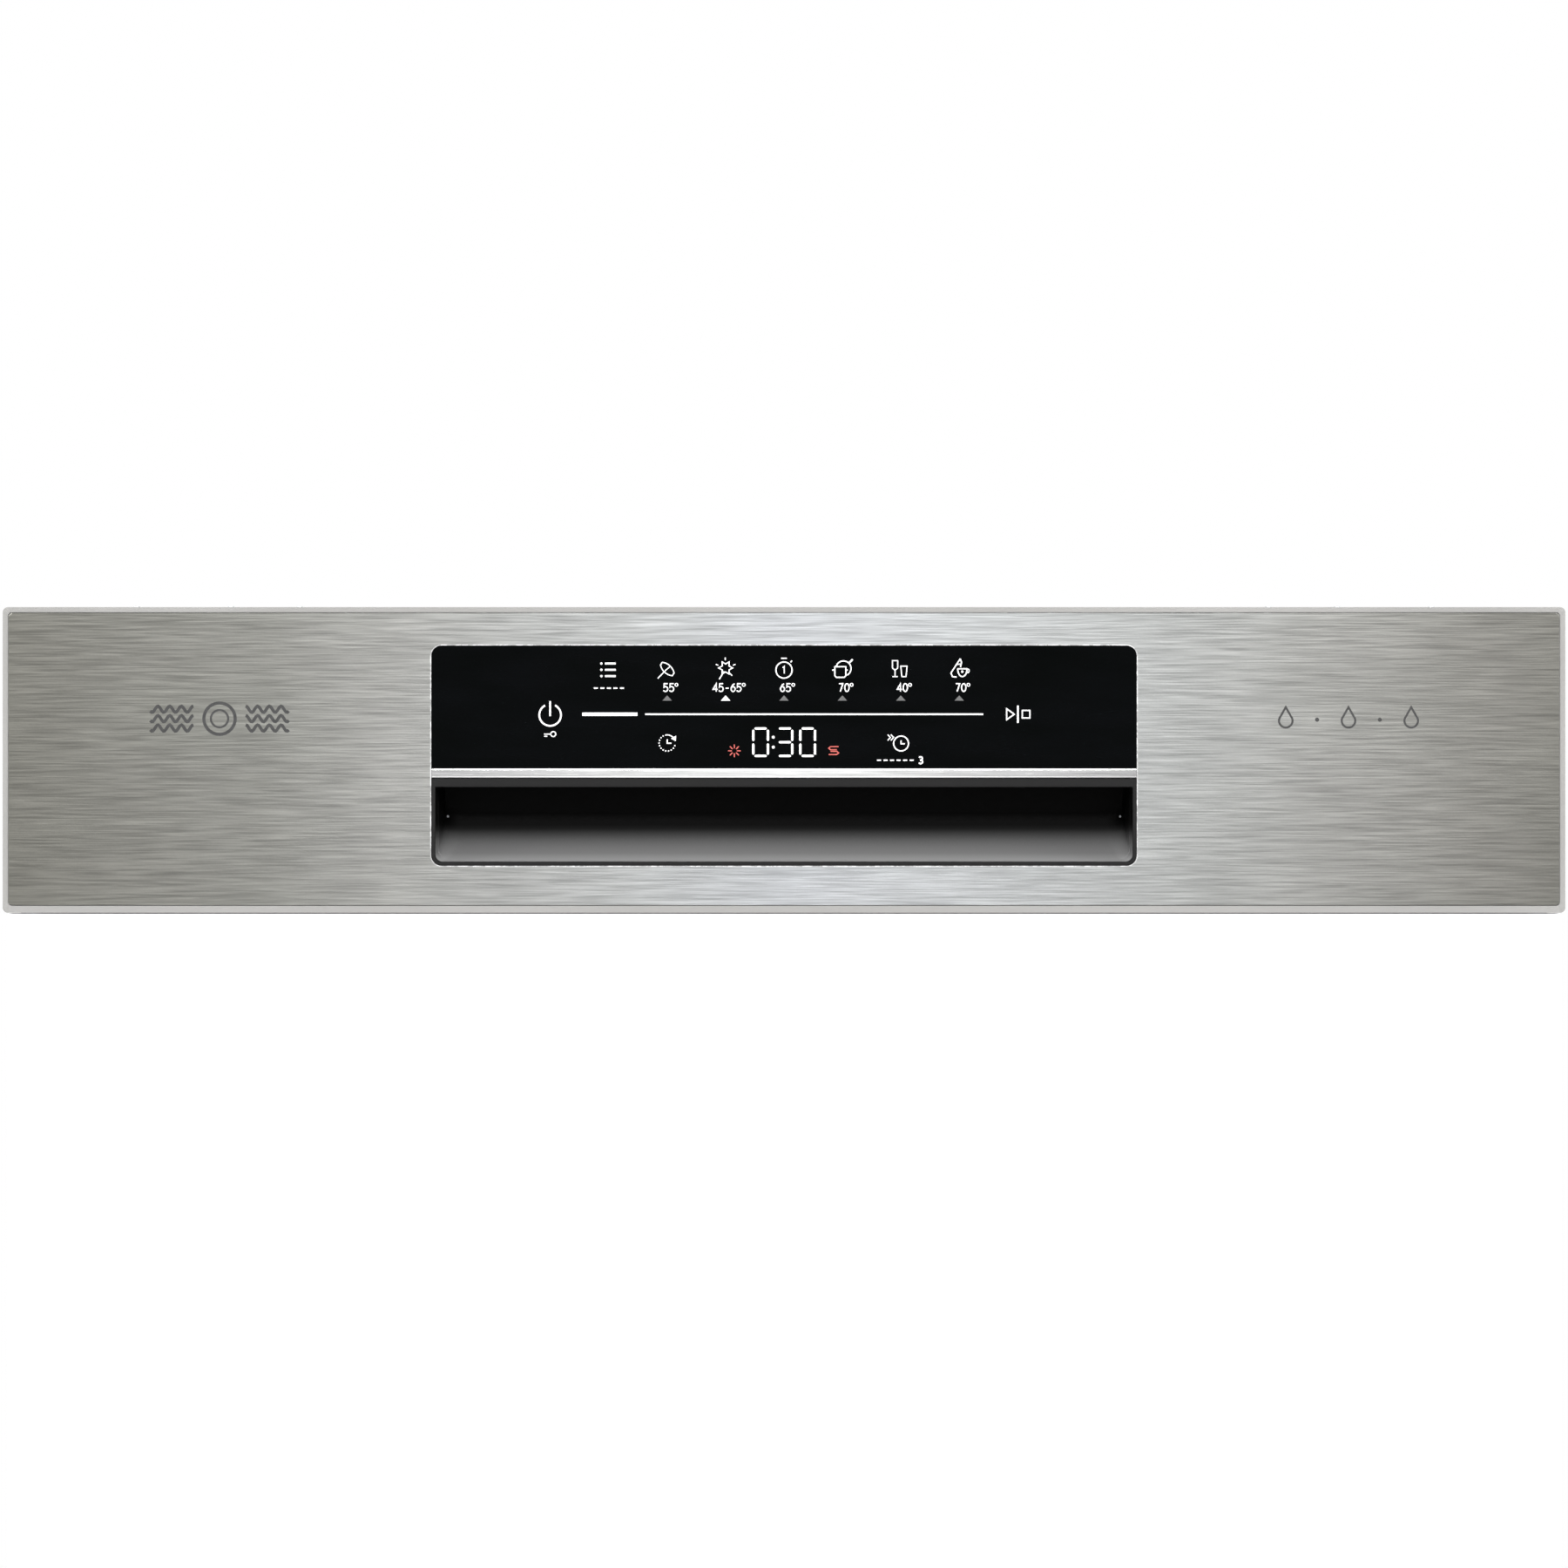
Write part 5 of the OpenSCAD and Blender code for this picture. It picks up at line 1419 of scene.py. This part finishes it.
def outer_panels():
    """Side sheets, front edge strips and a pressed rear panel with vent slots."""
    low, high = box("outer_panels")
    front, back, top, sheet = low.y, high.y, high.z, 0.8
    sides = Shape()
    profile = [(front, 140), (front, top), (back, top), (back, low.z), (-160, low.z), (-160, 140)]
    sides.rings([[(x, y, z) for y, z in profile] for x in (high.x - sheet, high.x)])
    sides.block((292, front, 175), (high.x - 0.4, front + sheet, top))
    sides.mirrored().build("side_panels", "cabinet", "galvanised", ["outer_panels"], smooth=20)
    edge = high.x - sheet - 0.1
    loops = inset_loops((-edge, 140), (edge, top), [(0, 1, back - 4), (0, 1, back - 0.3), (0.4, 1, back)])
    loops += inset_loops((-246, 244), (246, 762), [(0, 26, back), (5, 22, back - 2.6)])
    loops += inset_loops((-150, 380), (150, 640), [(0, 16, back - 2.6), (3, 14, back - 0.8)])
    piece = nested(loops, filled=True).build("rear_panel_pressed", "cabinet", "galvanised", smooth=25)
    for i in range(11):
        x = -160 + 32 * i
        cut_window(piece, (x - 3, 165), (x + 3, 215))
    solid_sheet(piece, 0.7)


def screws():
    """Cylinder-head screws on the back, the plinth and the hinge brackets."""
    head = [(0, 4.0), (0.9, 4.0), (1.5, 3.3), (1.5, 1.7), (0.5, 1.4)]
    flat = [(0, 2.9), (0.4, 2.9), (0.4, 1.6), (-0.6, 1.4)]
    shape = Shape()
    side, back = box("outer_panels")[1].x, box("outer_panels")[1].y
    for z in (226, 360, 500, 640, 786):
        for x in (-280, 280):
            shape.lathe(head, (x, back - 0.1, z), BACKWARDS, 20)
    for x in (-240, 240):
        shape.lathe(head, (x, box("plinth")[0].y - 0.1, 110), (0, -1, 0), 20)
    for z in (230, 730):
        for x in (-1, 1):
            shape.lathe(flat, (x * (side - 0.4), -180, z), (x, 0, 0), 20)
    shape.build("panel_screws", "cabinet", "spring_steel")


def ports():
    """Inlet thread and strainer, barbs on the drain spigot, and the mains gland's nut and seal."""
    valve_low, valve_high = box("inlet_valve")
    inlet, gland_x, drain_x = (valve_low.x + valve_high.x) / 2, 160, 250
    port_z, drain_z = 85, 64
    Shape().tube(helix((inlet, 257, port_z), 12.95, 1.81, 12, 24), 0.5, 6).build(
        "inlet_thread", "cabinet", "white_plastic")
    Shape().lathe([(0, 9.9), (0.8, 9.9), (1.4, 7.0), (1.8, 0.2)], (inlet, 272, port_z), BACKWARDS, 32).build(
        "inlet_strainer", "cabinet", "filter_mesh")
    barbs = Shape()
    for y in (262, 268, 274):
        barbs.lathe([(0, 10.0), (0, 10.9), (0.6, 10.9), (4.5, 10.0)],
                    (drain_x, y, drain_z), BACKWARDS, closed=True)
    barbs.build("spigot_barbs", "cabinet", "base_plastic")
    hexagon = [14.6, 12.65] * 6
    circle = [10.9] * 12
    loops = []
    for y, radii, grow in ((255.4, hexagon, -0.6), (256.0, hexagon, 0), (260.9, hexagon, 0),
                           (261.5, hexagon, -0.6), (261.5, circle, 0), (255.4, circle, 0)):
        loops.append([])
        for i, radius in enumerate(radii):
            turn, reach = math.radians(30 * i), radius + grow
            loops[-1].append((gland_x + reach * math.cos(turn), y, port_z + reach * math.sin(turn)))
    Shape().rings(loops, closed=True).build("gland_nut", "cabinet", "grey_plastic", smooth=20)
    Shape().lathe([(-0.2, 4.6), (-0.2, 9.0), (0.6, 8.0), (1.0, 5.4), (0.7, 4.6)],
                  (gland_x, 264, port_z), BACKWARDS, closed=True).build("gland_seal", "cabinet", "rubber")


def dispenser_details():
    """A pressed lid with a ribbed catch, and a knurled rinse-aid cap with a lifting tab."""
    low, high = box("dispenser_lid")
    back, face = low.y, low.y + 2.3
    lid = nested(inset_loops((low.x, low.z + 1.9), (high.x, high.z), [
        (1.2, 3, back), (0, 4, back), (0, 4, back + 1.5), (0.9, 4, face), (5, 5, face), (6, 5, face - 0.6),
        (12, 4, face - 0.6), (13, 4, face - 0.3)]), filled=True)
    lid.tube([(low.x, face - 0.9, low.z + 1.4), (high.x, face - 0.9, low.z + 1.4)], 1.4, 12)
    lid.block((-63, face - 0.2, 490), (-47, face + 0.5, 499.5))
    for i in range(5):
        z = 491.6 + 1.7 * i
        lid.tube([(-61.5, face + 0.6, z), (-48.5, face + 0.6, z)], 0.45, 8)
    lid.build("dispenser_lid_pressed", "dispenser_lid", "white_plastic", ["dispenser_lid"])
    low, high = box("rinse_cap")
    x, z, back, face = (low.x + high.x) / 2, high.z - 16, low.y, low.y + 2.2
    knurl = []
    for y, radius, depth in ((back, 15.4, 0.0), (back + 0.2, 15.8, 0.25), (face - 0.8, 15.8, 0.25),
                             (face - 0.2, 15.0, 0.1), (face, 14.0, 0.0), (face, 9.0, 0.0),
                             (face - 0.4, 8.4, 0.0), (face - 0.4, 0.4, 0.0)):
        turns = [2 * math.pi * i / 96 for i in range(96)]
        reaches = [radius + depth * math.cos(24 * turn) for turn in turns]
        knurl.append([(x + r * math.cos(turn), y, z + r * math.sin(turn)) for r, turn in zip(reaches, turns)])
    cap = Shape().rings(knurl)
    cap.tube([(x - 8, face - 0.8, z - 16.5), (x + 8, face - 0.8, z - 16.5)], 1.4, 12)
    cap.tube(fillet([(x - 5.5, face - 0.1, z + 10), (x - 3, face + 1.2, z + 11.5),
                     (x + 3, face + 1.2, z + 11.5), (x + 5.5, face - 0.1, z + 10)], 2), 1.0, 10)
    cap.build("rinse_cap_knurled", "rinse_cap", SLOT_OF["rinse_cap"], ["rinse_cap"])


outer_panels()
screws()
ports()
dispenser_details()
